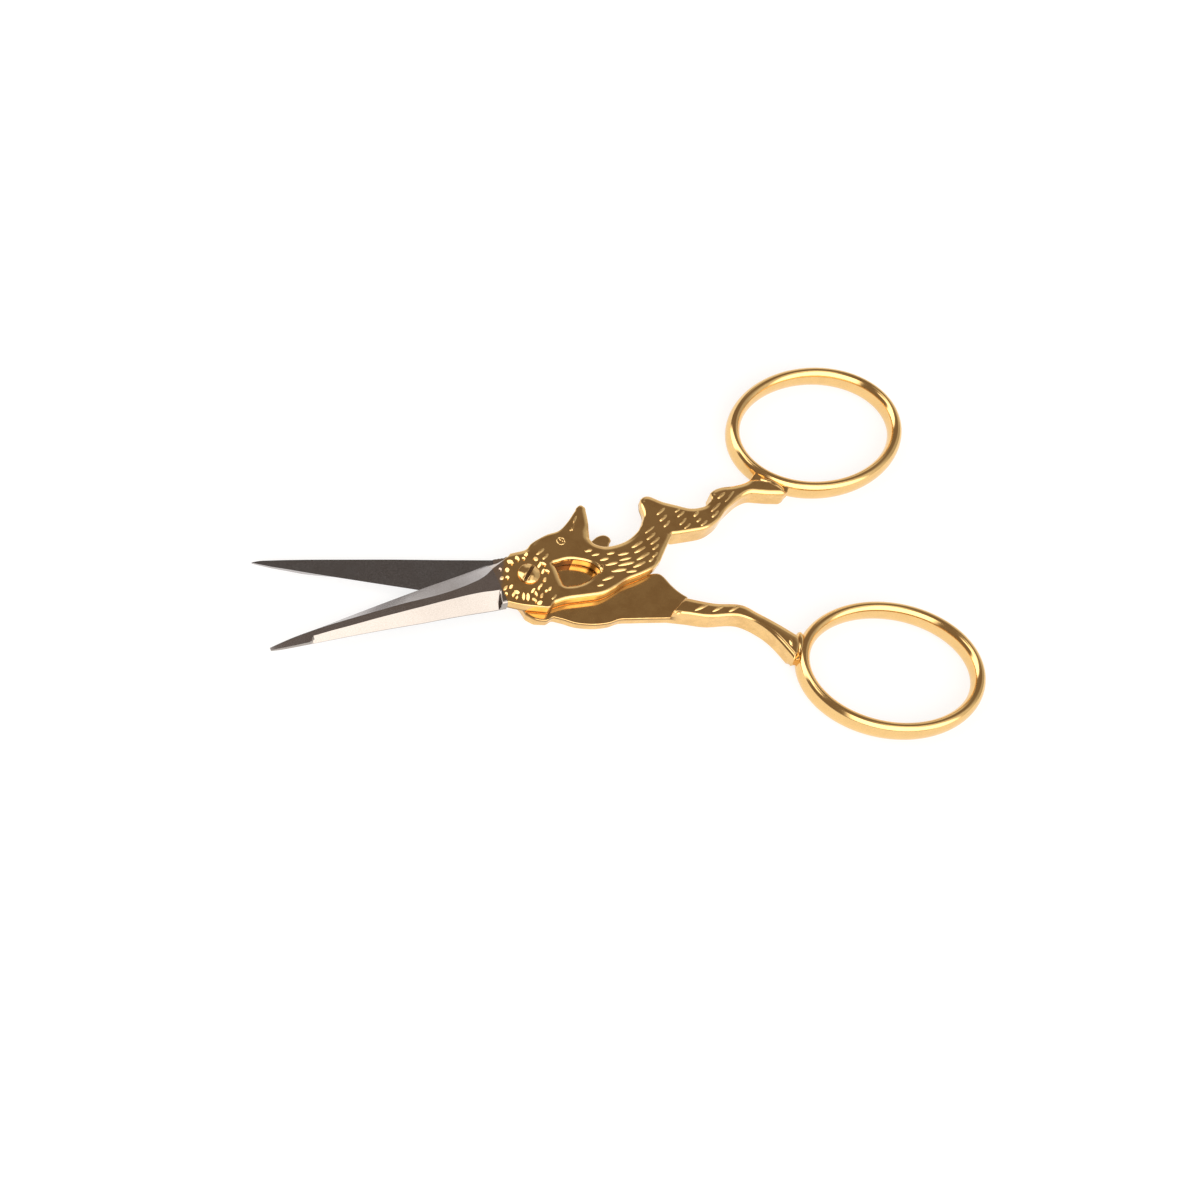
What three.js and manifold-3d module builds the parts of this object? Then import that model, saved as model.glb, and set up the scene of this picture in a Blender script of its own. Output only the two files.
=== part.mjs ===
// Embroidery scissors: two flat forged halves that lap each other and turn on one slotted screw.
// Millimetres, +Z up. The pivot axis is the Z axis, the blades point to -X and the finger bows to +X.
// z = 0 is the plane of the underside; the halves meet halfThickness above it.
import * as THREE from 'three';
import { mergeVertices } from 'three/addons/utils/BufferGeometryUtils.js';
import Module from 'manifold-3d';

// Halves
const halfThickness = 1.5;        // from the meeting plane to either outer face
const runningGap = 0.06;          // between the two inner faces
const openingAngle = 20.9;        // degrees between the halves, as they lie
const forgingSeam = 0.04;         // between the bare blade, the plated handle and the bow of one half

// Blades, measured from the pivot
const tipReach = 33;              // to the tip
const platingReach = 4;           // to the line where the plating starts
const ricassoLength = 0.9;        // full-height steel in front of that line
const plungeLength = 0.7;         // run-out of the facets into the ricasso
const cutSide = 3.45;             // centre line to the cutting edge, at the plating line
const spineSide = 2.75;           // centre line to the spine, at the plating line
const heelStep = 0.1;             // the cutting edge stands this far past the figure's side
const tipHalfWidth = 0.12;
const tipOffset = 0.12;           // the tip lies this far towards the cutting edge
const edgeBelly = 0.12;           // how far the cutting edge bulges half-way
const ridgeHeight = 1.5;          // meeting plane to the ridge, at the plating line
const tipHeight = 0.4;            // the same at the tip
const spineHeight = 0.35;         // height of the spine's edge
const cutHeight = 0.08;           // height left at the cutting edge
const bladeStations = 14;

// Bows: oval rings of an oval section
const bowReach = 44.9;            // pivot to the bow's centre, along the half
const bowLong = 11.24;            // half of the ring's long axis, to the middle of the bar
const bowShort = 8.41;            // half of its short axis
const bowBarWidth = 1.75;
const bowBarHeight = 3;
const bowClosedGap = 0.12;        // between the two bows, when closed
const saddleReach = 0.5;          // how far the handle's end laps over the bar from outside
const bowSteps = 72;
const bowSides = 16;

// Pivot screw
const screwRadius = 0.9;
const screwHeadRadius = 1.35;
const screwHeadEdge = 0.22;       // height of the head's rim
const screwHeadDome = 0.33;       // rise of the dome above that rim
const screwHeadSeat = 0.05;       // running room under the head
const screwSlotWidth = 0.5;
const screwSlotDepth = 0.3;
const screwSlotAngle = 65;        // degrees from the X axis
const screwRunningFit = 0.06;     // radial, in the front half
const screwThreadFit = 0.02;      // radial, in the back half
const screwSegments = 40;

// Figure on the handles
const shankStart = 19.6;          // pivot to the shoulder, where a half gets its full thickness
const windowBack = 3.35;          // the front half's pierced window: pivot to its near side
const windowFront = 8.7;          // pivot to its far side
const windowTop = 0.6;            // centre line to its upper side
const windowBottom = -3.5;        // centre line to its lower side

const curveSteps = 3;             // straight steps for each point of a curved outline

const wasm = await Module();
wasm.setup();

const vector = (x, y) => new THREE.Vector2(x, y);
const bowSide = bowShort + bowBarWidth / 2 + bowClosedGap / 2;
const bowEdge = bowReach - bowLong - bowBarWidth / 2;

// A point of a shank: u runs from the shoulder to the bow's near edge, v from the centre line to the bow's
// centre.
function shankPoint(u, v) {
  return vector(shankStart + u * (bowEdge - shankStart), v * bowSide);
}

// A closed outline from stretches of points. Neighbouring stretches share a corner; a stretch of more than
// two points is a smooth curve.
function outline(stretches) {
  const shape = new THREE.Shape();
  shape.moveTo(stretches[0][0].x, stretches[0][0].y);
  for (const stretch of stretches) {
    const rest = stretch.slice(1);
    if (rest.length > 1) {
      shape.splineThru(rest);
    } else {
      shape.lineTo(rest[0].x, rest[0].y);
    }
  }
  return shape;
}

function toSolid(geometry) {
  const bare = geometry.clone();
  bare.deleteAttribute('normal');
  bare.deleteAttribute('uv');
  const merged = mergeVertices(bare, 1e-5);
  return new wasm.Manifold(new wasm.Mesh({
    numProp: 3,
    vertProperties: new Float32Array(merged.attributes.position.array),
    triVerts: new Uint32Array(merged.index.array),
  }));
}

function toGeometry(solid) {
  const mesh = solid.getMesh();
  const geometry = new THREE.BufferGeometry();
  geometry.setAttribute('position', new THREE.BufferAttribute(new Float32Array(mesh.vertProperties), 3));
  geometry.setIndex(new THREE.BufferAttribute(new Uint32Array(mesh.triVerts), 1));
  geometry.computeVertexNormals();
  return geometry;
}

// A prism over a shape, from z = low to z = high.
function prism(shape, low, high) {
  const geometry = new THREE.ExtrudeGeometry(shape, {
    depth: high - low,
    bevelEnabled: false,
    curveSegments: curveSteps,
  });
  geometry.translate(0, 0, low);
  return toSolid(geometry);
}

// A skin over rings of points. An open loft gets flat ends; a closed one joins its last ring to its first.
function loft(rings, closed) {
  const sides = rings[0].length;
  const positions = rings.flat().flatMap((point) => [point.x, point.y, point.z]);
  const index = [];
  const spans = closed ? rings.length : rings.length - 1;
  for (let i = 0; i < spans; i += 1) {
    const next = (i + 1) % rings.length;
    for (let j = 0; j < sides; j += 1) {
      const k = (j + 1) % sides;
      const [a, b, c, d] = [i * sides + j, i * sides + k, next * sides + k, next * sides + j];
      index.push(a, b, c, a, c, d);
    }
  }
  if (!closed) {
    const last = (rings.length - 1) * sides;
    for (let j = 1; j < sides - 1; j += 1) {
      index.push(0, j + 1, j);
      index.push(last, last + j, last + j + 1);
    }
  }
  const geometry = new THREE.BufferGeometry();
  geometry.setAttribute('position', new THREE.Float32BufferAttribute(positions, 3));
  geometry.setIndex(index);
  return geometry;
}

// One blade, lying on the meeting plane with its cutting edge towards +Y. Its outer side has three facets:
// the cutting bevel, a narrow flat along the ridge and the wide facet that falls to the spine.
function bladeGeometry() {
  const start = -tipReach;
  const end = -(platingReach + forgingSeam);
  const facetEnd = end + forgingSeam - ricassoLength - plungeLength;
  const bevelLine = new THREE.SplineCurve([
    vector(0, 0), vector(0.35, 0.2), vector(0.66, 0.25), vector(1, 0.46),
  ]);
  const ridgeLine = new THREE.SplineCurve([
    vector(0, 0), vector(0.35, -0.05), vector(0.65, -0.25), vector(1, -0.39),
  ]);
  const rings = [];
  const section = (x, ricasso) => {
    const share = (x - start) / (-platingReach - start);
    const belly = 4 * share * (1 - share) * edgeBelly;
    const cut = tipOffset + tipHalfWidth + share * (cutSide - tipOffset - tipHalfWidth) + belly;
    const spine = tipOffset - tipHalfWidth - share * (spineSide + tipOffset - tipHalfWidth);
    const ridge = tipHeight + share * (ridgeHeight - tipHeight);
    const bevel = Math.min(bevelLine.getPoint(share).y * cutSide, cut * 0.9);
    const crest = Math.max(ridgeLine.getPoint(share).y * spineSide, spine * 0.9);
    const floor = runningGap / 2;
    const cutTop = ricasso ? ridge : Math.min(cutHeight, ridge);
    const spineTop = ricasso ? ridge : Math.min(spineHeight, ridge);
    rings.push([
      new THREE.Vector3(x, spine, floor),
      new THREE.Vector3(x, cut, floor),
      new THREE.Vector3(x, cut, cutTop),
      new THREE.Vector3(x, bevel, ridge),
      new THREE.Vector3(x, crest, ridge),
      new THREE.Vector3(x, spine, spineTop),
    ]);
  };
  for (let i = 0; i <= bladeStations; i += 1) {
    section(start + (i / bladeStations) * (facetEnd - start), false);
  }
  section(facetEnd + plungeLength, true);
  section(end, true);
  return loft(rings, false);
}

// The ring of a bow, centred at (x, y) on the meeting plane. grow widens the bar on every side.
function bowGeometry(x, y, grow) {
  const rings = [];
  for (let i = 0; i < bowSteps; i += 1) {
    const t = (i / bowSteps) * 2 * Math.PI;
    const middle = vector(x + bowLong * Math.cos(t), y + bowShort * Math.sin(t));
    const normal = vector(Math.cos(t) / bowLong, Math.sin(t) / bowShort).normalize();
    const ring = [];
    for (let j = 0; j < bowSides; j += 1) {
      const s = -(j / bowSides) * 2 * Math.PI;
      const out = (bowBarWidth / 2 + grow) * Math.cos(s);
      const up = (bowBarHeight / 2 + grow) * Math.sin(s);
      ring.push(new THREE.Vector3(middle.x + normal.x * out, middle.y + normal.y * out, up));
    }
    rings.push(ring);
  }
  return loft(rings, true);
}

// What the bow takes out of its handle: the ring with the seam round it, and the finger hole inside.
function bowRoom(y) {
  const hole = new THREE.Shape();
  const inset = bowBarWidth / 2 - saddleReach;
  hole.absellipse(bowReach, y, bowLong + inset, bowShort + inset, 0, 2 * Math.PI);
  const room = new THREE.ExtrudeGeometry(hole, {
    depth: 4 * halfThickness,
    bevelEnabled: false,
    curveSegments: bowSteps,
  });
  room.translate(0, 0, -2 * halfThickness);
  return toSolid(bowGeometry(bowReach, y, forgingSeam)).add(toSolid(room));
}

function screwHole(fit) {
  const radius = screwRadius + fit;
  const hole = new THREE.CylinderGeometry(radius, radius, 6 * halfThickness, screwSegments);
  hole.rotateX(Math.PI / 2);
  return toSolid(hole);
}

// The lapped edges behind the figure run slanting, clear of the shoulder where the other half's full
// thickness starts. Each is drawn with both halves' frames together, as when the scissors are closed.
const frontLapEdge = [vector(16.5, -2.9), vector(shankStart, 0.1)];
const backLapEdge = [vector(16.5, 2.05), vector(17.1, 1.65), vector(17.8, 0.75), vector(18.5, 0),
  vector(19.2, -0.56), vector(shankStart + 0.2, -0.92)];
const frontShoulder = [vector(shankStart + 0.35, -0.4), vector(shankStart - 0.85, 6)];
const backShoulder = [vector(shankStart - 2.25, -4.1), vector(shankStart - 0.35, -1.85)];

// The figure's brow, ear, nape and back, from the plating line on. The back half's ear is rounder and its
// back is fuller, as it lies under the front half's.
const brow = [vector(-0.3, 3.25), vector(1.2, 3.25), vector(2.3, 3.85), vector(4.4, 4.35), vector(6.1, 4.45),
  vector(7.6, 5.2)];
const frontEar = [vector(9.75, 6.9), vector(10.2, 7.05), vector(10.45, 6.7)];
const frontNape = [vector(10.45, 6.7), vector(9.95, 4.7), vector(9.25, 2.6)];
const frontBack = [vector(9.25, 2.6), vector(9.6, 1.6), vector(11.1, 0.75), vector(13.5, 0.75),
  vector(15.4, 1.45), vector(16.4, 2.3)];
const backEar = [vector(8.6, 6.1), vector(9.3, 6.75), vector(9.95, 7.02), vector(10.45, 6.9),
  vector(10.68, 6.5), vector(10.5, 5.9), vector(10.1, 4.7), vector(9.25, 2.6)];
const backBack = [vector(9.25, 2.6), vector(9.7, 1.9), vector(11.1, 1.4), vector(13.5, 1.5), vector(15.4, 1.9)];

// The front half's outline: the figure, its haunch and the tail that runs to the bow.
const frontOutline = outline([
  [vector(-platingReach, cutSide - heelStep), vector(-0.5 * platingReach, cutSide - heelStep), ...brow,
    frontEar[0]],
  frontEar,
  frontNape,
  frontBack,
  [vector(16.4, 2.3), vector(17.35, 3.7), vector(17.6, 5.15), vector(18.2, 5.85), vector(19.1, 5.9),
    vector(20.4, 4.75), vector(21.8, 3.85), shankPoint(0.3, 0.3), shankPoint(0.44, 0.275),
    shankPoint(0.52, 0.33), shankPoint(0.57, 0.44), shankPoint(0.68, 0.48), shankPoint(0.84, 0.45),
    shankPoint(1, 0.47), shankPoint(1.14, 0.62)],
  [shankPoint(1.14, 0.62), shankPoint(1.36, 0.26)],
  [shankPoint(1.36, 0.26), shankPoint(1.245, 0.148)],
  [shankPoint(1.245, 0.148), shankPoint(1.13, 0.198), shankPoint(1.04, 0.246), shankPoint(0.94, 0.292),
    shankPoint(0.83, 0.272), shankPoint(0.735, 0.222), shankPoint(0.62, 0.145), shankPoint(0.5, 0.03),
    shankPoint(0.35, -0.035), shankPoint(0.18, -0.02), frontLapEdge[1]],
  [frontLapEdge[1], vector(18, -1.4), frontLapEdge[0]],
  [frontLapEdge[0], vector(15.4, -3.6), vector(13.5, -4), vector(11.5, -4.2), vector(9.6, -4.75),
    vector(7.7, -5.1), vector(5.6, -4.85), vector(3.2, -4.5), vector(1.5, -4.55)],
  [vector(1.5, -4.55), vector(0.5, -4.95)],
  [vector(0.5, -4.95), vector(-0.55 * platingReach, -3.8), vector(-platingReach, -spineSide)],
  [vector(-platingReach, -spineSide), vector(-platingReach, cutSide - heelStep)],
]);

// The back half's outline: the same figure in plain metal, with the cutting edge and the bow on the other side.
const backOutline = outline([
  [vector(-platingReach, spineSide), ...brow, ...backEar],
  [...backBack, ...backLapEdge],
  [backLapEdge.at(-1), backShoulder[1]],
  [backShoulder[1], shankPoint(0.25, -0.255), shankPoint(0.5, -0.25), shankPoint(0.66, -0.36),
    shankPoint(0.84, -0.5), shankPoint(1.02, -0.66)],
  [shankPoint(1.02, -0.66), shankPoint(1.12, -0.9)],
  [shankPoint(1.12, -0.9), shankPoint(0.96, -1.005)],
  [shankPoint(0.96, -1.005), shankPoint(0.93, -0.93), shankPoint(0.8, -0.69), shankPoint(0.68, -0.54),
    shankPoint(0.54, -0.44), shankPoint(0.42, -0.42), shankPoint(0.2, -0.46), shankPoint(0, -0.44),
    vector(17.4, -4)],
  [vector(17.4, -4), vector(15, -4.2), vector(13, -4.4), vector(11.3, -4.6), vector(9.9, -5.2),
    vector(8, -5.55), vector(5.9, -5.5), vector(4.4, -5.1), vector(3.2, -4.85)],
  [vector(3.2, -4.85), vector(2.2, -5.4)],
  [vector(2.2, -5.4), vector(0.9, -5.3), vector(-1.2, -4.2), vector(-platingReach, heelStep - cutSide)],
  [vector(-platingReach, heelStep - cutSide), vector(-platingReach, spineSide)],
]);

// What is milled away so that the other half can lie there, from z = low to z = high: everything on the
// pivot's side of the shoulder.
function lapRoom(shoulder, low, high) {
  const along = shoulder[1].clone().sub(shoulder[0]).normalize();
  const reach = 2 * tipReach;
  const start = shoulder[0].clone().addScaledVector(along, -reach);
  const end = shoulder[1].clone().addScaledVector(along, reach);
  return prism(new THREE.Shape([start, end, vector(-reach, end.y), vector(-reach, start.y)]), low, high);
}

const windowShape = outline([
  [vector(windowBack + 0.45, 0.25), vector(windowBack, -1.4), vector(windowBack - 0.1, -2.8)],
  [vector(windowBack - 0.1, -2.8), vector(windowBack + 0.8, windowBottom), vector(6.6, windowBottom + 0.15),
    vector(windowFront - 0.1, -2.7)],
  [vector(windowFront - 0.1, -2.7), vector(windowFront, -1.5), vector(7.2, 0), vector(5.6, windowTop),
    vector(4.5, windowTop - 0.2), vector(windowBack + 0.45, 0.25)],
]);

// The front half lies on the back half, so its lapped part keeps the upper side.
function frontHandleGeometry() {
  const solid = prism(frontOutline, -halfThickness, halfThickness)
    .subtract(lapRoom(frontShoulder, -2 * halfThickness, runningGap / 2))
    .subtract(prism(windowShape, -2 * halfThickness, 2 * halfThickness))
    .subtract(screwHole(screwRunningFit))
    .subtract(bowRoom(bowSide));
  return toGeometry(solid);
}

// The back half's lapped part keeps the lower side, and its bow lies towards -Y.
function backHandleGeometry() {
  const solid = prism(backOutline, -halfThickness, halfThickness)
    .subtract(lapRoom(backShoulder, -runningGap / 2, 2 * halfThickness))
    .subtract(screwHole(screwThreadFit))
    .subtract(bowRoom(-bowSide));
  return toGeometry(solid);
}

// The screw's tail ends flush with the underside; its domed head turns free above the front half.
function screwGeometry() {
  const seat = halfThickness + screwHeadSeat;
  const rim = seat + screwHeadEdge;
  const profile = [vector(0, -halfThickness), vector(screwRadius, -halfThickness), vector(screwRadius, seat),
    vector(screwHeadRadius, seat)];
  const domeSteps = 5;
  for (let i = 0; i <= domeSteps; i += 1) {
    const angle = (i / domeSteps) * (Math.PI / 2);
    const radius = i === domeSteps ? 0 : screwHeadRadius * Math.cos(angle);
    profile.push(vector(radius, rim + screwHeadDome * Math.sin(angle)));
  }
  const turned = new THREE.LatheGeometry(profile, screwSegments);
  turned.rotateX(Math.PI / 2);
  const top = rim + screwHeadDome;
  const slot = new THREE.BoxGeometry(3 * screwHeadRadius, screwSlotWidth, 2 * screwSlotDepth);
  slot.rotateZ(THREE.MathUtils.degToRad(screwSlotAngle));
  slot.translate(0, 0, top);
  return toGeometry(toSolid(turned).subtract(toSolid(slot)));
}

const steel = { color: 0x9a9a9c, metalness: 1, roughness: 0.25 };
const gold = { color: 0xd6a653, metalness: 1, roughness: 0.18 };

function piece(name, geometry, finish) {
  const mesh = new THREE.Mesh(geometry, new THREE.MeshStandardMaterial(finish));
  mesh.name = name;
  return mesh;
}

const frontHalf = new THREE.Group();
frontHalf.rotation.z = THREE.MathUtils.degToRad(openingAngle / 2);
frontHalf.add(
  piece('front_blade', bladeGeometry(), steel),
  piece('front_handle', frontHandleGeometry(), gold),
  piece('front_bow', bowGeometry(bowReach, bowSide, 0), gold),
);

// The back blade is the front blade turned over about the X axis.
const backHalf = new THREE.Group();
backHalf.rotation.z = THREE.MathUtils.degToRad(-openingAngle / 2);
backHalf.add(
  piece('back_blade', bladeGeometry().rotateX(Math.PI), steel),
  piece('back_handle', backHandleGeometry(), gold),
  piece('back_bow', bowGeometry(bowReach, -bowSide, 0), gold),
);

const scissors = new THREE.Group();
scissors.position.z = halfThickness;
scissors.add(frontHalf, backHalf, piece('pivot_screw', screwGeometry(), gold));

export default scissors;
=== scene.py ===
"""Embroidery scissors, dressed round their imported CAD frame.

Sizes are millimetres. Each half is shaped in its own frame: the pivot axis is the Z axis, the blade points to
-X, the height 0 is the plane where the halves meet, and the half's outer side looks up. `Half.to_rest` turns
such points to where the half lies at rest and gives them in metres.
"""
import logging
import math
from dataclasses import dataclass, field, replace
from enum import Enum
from typing import Callable

import bpy
import numpy as np
from mathutils import Matrix, Vector


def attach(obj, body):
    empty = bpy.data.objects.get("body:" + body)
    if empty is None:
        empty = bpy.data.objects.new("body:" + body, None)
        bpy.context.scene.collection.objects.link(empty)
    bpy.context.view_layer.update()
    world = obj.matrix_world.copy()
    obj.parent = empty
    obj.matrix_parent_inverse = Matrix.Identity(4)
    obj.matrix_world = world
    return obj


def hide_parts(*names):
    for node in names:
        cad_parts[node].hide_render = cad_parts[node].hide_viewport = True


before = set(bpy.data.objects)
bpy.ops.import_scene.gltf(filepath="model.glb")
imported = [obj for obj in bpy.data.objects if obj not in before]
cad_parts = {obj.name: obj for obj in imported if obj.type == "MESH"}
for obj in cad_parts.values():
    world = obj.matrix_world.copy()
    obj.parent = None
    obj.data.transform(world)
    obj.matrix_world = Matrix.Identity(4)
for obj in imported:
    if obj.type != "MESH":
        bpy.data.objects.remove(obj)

log = logging.getLogger("embroidery_scissors")

MM = 0.001
HALF_THICKNESS = 1.5
RUNNING_GAP = 0.06
PLATING_LINE = -4.0
Points = np.ndarray
Field = Callable[[np.ndarray, np.ndarray, np.ndarray], np.ndarray]


class Half(Enum):
    """One half of the scissors: its degrees from the middle line, and 1 where its outer side is up or -1."""

    FRONT = (10.45, 1)
    BACK = (-10.45, -1)

    @property
    def polished_side(self) -> tuple[float, float]:
        """The direction in the half's frame that its most rounded edges look to."""
        return (-0.68, -0.74) if self is Half.FRONT else (-0.37, 0.93)

    @property
    def body(self) -> str:
        """The CAD body that the half's pieces ride on."""
        return "front_half" if self is Half.FRONT else "back_half"

    def to_rest(self, points: Points) -> Points:
        """Turn points of the half's frame to their place at rest.

        Formula: the back half is first turned over about the X axis; both are lifted by the half thickness,
        turned about the pivot axis and scaled to metres.

        Args:
            points: (n, 3) array in millimetres.
        Returns:
            (n, 3) array in metres, in the row frame.
        """
        degrees, side = self.value
        angle = math.radians(degrees)
        x, y, z = points[:, 0], side * points[:, 1], side * points[:, 2] + HALF_THICKNESS
        turned = np.stack((x * math.cos(angle) - y * math.sin(angle),
                           x * math.sin(angle) + y * math.cos(angle), z), axis=1)
        return turned * MM

    def from_rest(self, points: Points) -> Points:
        """Undo `to_rest`.

        Args:
            points: (n, 3) array in metres, in the row frame.
        Returns:
            (n, 3) array in millimetres, in the half's frame.
        """
        degrees, side = self.value
        angle = -math.radians(degrees)
        x, y, z = (points / MM).T
        return np.stack((x * math.cos(angle) - y * math.sin(angle),
                         side * (x * math.sin(angle) + y * math.cos(angle)),
                         side * (z - HALF_THICKNESS)), axis=1)


# Numbers and curves


def round_max(first: np.ndarray, second: np.ndarray, radius: float) -> np.ndarray:
    """Join two faces of a solid by a rounded edge.

    Formula: the larger of both, and near the edge the distance from the middle of a round of that radius.

    Args:
        first: signed distance to one face, negative inside.
        second: signed distance to the other.
        radius: of the rounded edge.
    Returns:
        Signed distance to the solid that both faces bound.
    """
    reach = np.hypot(np.maximum(first + radius, 0), np.maximum(second + radius, 0))
    return reach - radius + np.minimum(np.maximum(first, second) + radius, 0)


def ease(value: np.ndarray, low: float, high: float) -> np.ndarray:
    """A smooth step from 0 at low to 1 at high: t squared times (3 minus 2 t)."""
    share = np.clip((value - low) / (high - low), 0, 1)
    return share * share * (3 - 2 * share)


def cubic(t: np.ndarray, start: np.ndarray, leaving: np.ndarray, end: np.ndarray,
          arriving: np.ndarray) -> np.ndarray:
    """The cubic from start to end over t from 0 to 1 that leaves and arrives with the given slopes."""
    return ((2 * t ** 3 - 3 * t ** 2 + 1) * start + (t ** 3 - 2 * t ** 2 + t) * leaving
            + (3 * t ** 2 - 2 * t ** 3) * end + (t ** 3 - t ** 2) * arriving)


def smooth_curve(value: np.ndarray, knots: Points) -> np.ndarray:
    """A smooth curve through knots.

    Formula: a cubic between neighbouring knots. The slope at a knot is the mean of the slopes beside it,
    weighted by the distance to the other neighbour. Past the first and last knot the height stays the same.

    Args:
        value: where to read the curve.
        knots: (n, 2) array of place and height, in rising order of place.
    Returns:
        The curve's heights.
    """
    place, height = knots[:, 0], knots[:, 1]
    slopes = np.gradient(height, place)
    value = np.clip(value, place[0], place[-1])
    i = np.clip(np.searchsorted(place, value) - 1, 0, len(place) - 2)
    span = place[i + 1] - place[i]
    return cubic((value - place[i]) / span, height[i], span * slopes[i], height[i + 1], span * slopes[i + 1])


def face_outline(node: str, half: Half, level: float) -> Points:
    """Read the outer outline of a CAD node's flat face at one height.

    Formula: the edges of the face's triangles that have no twin the other way round make closed loops. Each
    point learns the lowest number in its loop by hops that double. The loop with the most points is taken.

    Args:
        node: name of the CAD node.
        half: the half that it belongs to.
        level: height of the face in the half's frame.
    Returns:
        (n, 2) closed outline.
    """
    near_level, keys_per_mm, doublings = 0.01, 500, 14
    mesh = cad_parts[node].data
    corners = np.zeros(len(mesh.vertices) * 3)
    mesh.vertices.foreach_get("co", corners)
    index = np.zeros(len(mesh.loops), int)
    mesh.loops.foreach_get("vertex_index", index)
    triangles = half.from_rest(corners.reshape(-1, 3))[index].reshape(-1, 3, 3)
    flat = triangles[np.all(np.abs(triangles[:, :, 2] - level) < near_level, axis=1)][:, :, :2]
    rounded = np.round(flat.reshape(-1, 2) * keys_per_mm).astype(int)
    keys, which = np.unique(rounded, axis=0, return_inverse=True)
    which = which.reshape(-1, 3)
    edges = np.concatenate([np.stack((which[:, k], which[:, (k + 1) % 3]), axis=1) for k in range(3)])
    edges = edges[edges[:, 0] != edges[:, 1]]
    codes = edges[:, 0] * len(keys) + edges[:, 1]
    edges = edges[~np.isin(edges[:, 1] * len(keys) + edges[:, 0], codes)]
    follow = np.arange(len(keys))
    follow[edges[:, 0]] = edges[:, 1]
    label, hop = np.arange(len(keys)), follow.copy()
    for _ in range(doublings):
        label = np.minimum(label, label[hop])
        hop = hop[hop]
    starts, counts = np.unique(label[edges[:, 0]], return_counts=True)
    longest = counts.argmax()
    return keys[walk(follow, starts[longest], counts[longest])] / keys_per_mm


def walk(follow: np.ndarray, start: int, count: int) -> np.ndarray:
    """Follow a chain of points: hops of 1, 2, 4 and so on are joined, so that all places come at once.

    Args:
        follow: for each point, the next one.
        start: first point.
        count: how many points.
    Returns:
        The points in their order.
    """
    order, hop, left = np.full(count, start), follow.copy(), np.arange(count)
    while left.any():
        order = np.where(left & 1, hop[order], order)
        hop = hop[hop]
        left = left >> 1
    return order


def smooth_loop(loop: Points, substeps: int, corner_degrees: float) -> Points:
    """Round a faceted outline and keep its corners.

    Formula: a cubic from each point to the next. Its slope at a point is the mean of the two edge directions,
    each weighted by the other edge's length, or the edge's own direction at a corner.

    Args:
        loop: (n, 2) closed outline.
        substeps: new points for each edge.
        corner_degrees: a turn above this stays a corner.
    Returns:
        (n * substeps, 2) closed outline.
    """
    ahead = np.roll(loop, -1, axis=0) - loop
    length = np.linalg.norm(ahead, axis=1)
    unit = ahead / length[:, None]
    before, before_length = np.roll(unit, 1, axis=0), np.roll(length, 1)
    mean = before * length[:, None] + unit * before_length[:, None]
    mean /= np.linalg.norm(mean, axis=1)[:, None]
    corner = (before * unit).sum(axis=1) < math.cos(math.radians(corner_degrees))
    leaving = np.where(corner[:, None], unit, mean) * length[:, None]
    arriving = np.roll(np.where(corner[:, None], before, mean), -1, axis=0) * length[:, None]
    t = (np.arange(substeps) / substeps)[None, :, None]
    start, end = loop[:, None], np.roll(loop, -1, axis=0)[:, None]
    return cubic(t, start, leaving[:, None], end, arriving[:, None]).reshape(-1, 2)


class DistanceMap:
    """Signed distance to a closed outline, negative inside, kept on a grid and read between its points."""

    def __init__(self, loop: Points, spacing: float = 0.08, margin: float = 1.2) -> None:
        """Work out the grid.

        Formula: the shortest distance to any edge, with the sign from how many edges a ray along +X crosses.

        Args:
            loop: (n, 2) closed outline.
            spacing: of the grid.
            margin: how far the grid reaches past the outline.
        """
        self.low, self.spacing = loop.min(axis=0) - margin, spacing
        counts = np.ceil((loop.max(axis=0) + margin - self.low) / spacing).astype(int) + 2
        xs, ys = (self.low[k] + spacing * np.arange(counts[k]) for k in range(2))
        ahead = np.roll(loop, -1, axis=0) - loop
        square = (ahead ** 2).sum(axis=1)
        self.grid = np.empty(counts)
        for i, x in enumerate(xs):
            dx, dy = x - loop[None, :, 0], ys[:, None] - loop[None, :, 1]
            t = np.clip((dx * ahead[:, 0] + dy * ahead[:, 1]) / square, 0, 1)
            near = np.hypot(dx - t * ahead[:, 0], dy - t * ahead[:, 1]).min(axis=1)
            beside = (dy >= 0) != (dy - ahead[:, 1] >= 0)
            rise = np.where(ahead[:, 1] == 0, 1, ahead[:, 1])
            crossed = beside & (dx < dy * ahead[:, 0] / rise)
            self.grid[i] = np.where(crossed.sum(axis=1) % 2 == 1, -near, near)

    def __call__(self, x: np.ndarray, y: np.ndarray) -> np.ndarray:
        """Read the map.

        Args:
            x: places along X.
            y: places along Y.
        Returns:
            Signed distances.
        """
        just_inside = 1.001
        last = np.array(self.grid.shape) - just_inside
        u = np.clip((x - self.low[0]) / self.spacing, 0, last[0])
        v = np.clip((y - self.low[1]) / self.spacing, 0, last[1])
        u, v = np.broadcast_arrays(u, v)
        i, j = u.astype(int), v.astype(int)
        s, t = u - i, v - j
        return ((self.grid[i, j] * (1 - s) + self.grid[i + 1, j] * s) * (1 - t)
                + (self.grid[i, j + 1] * (1 - s) + self.grid[i + 1, j + 1] * s) * t)


# Meshes


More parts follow.
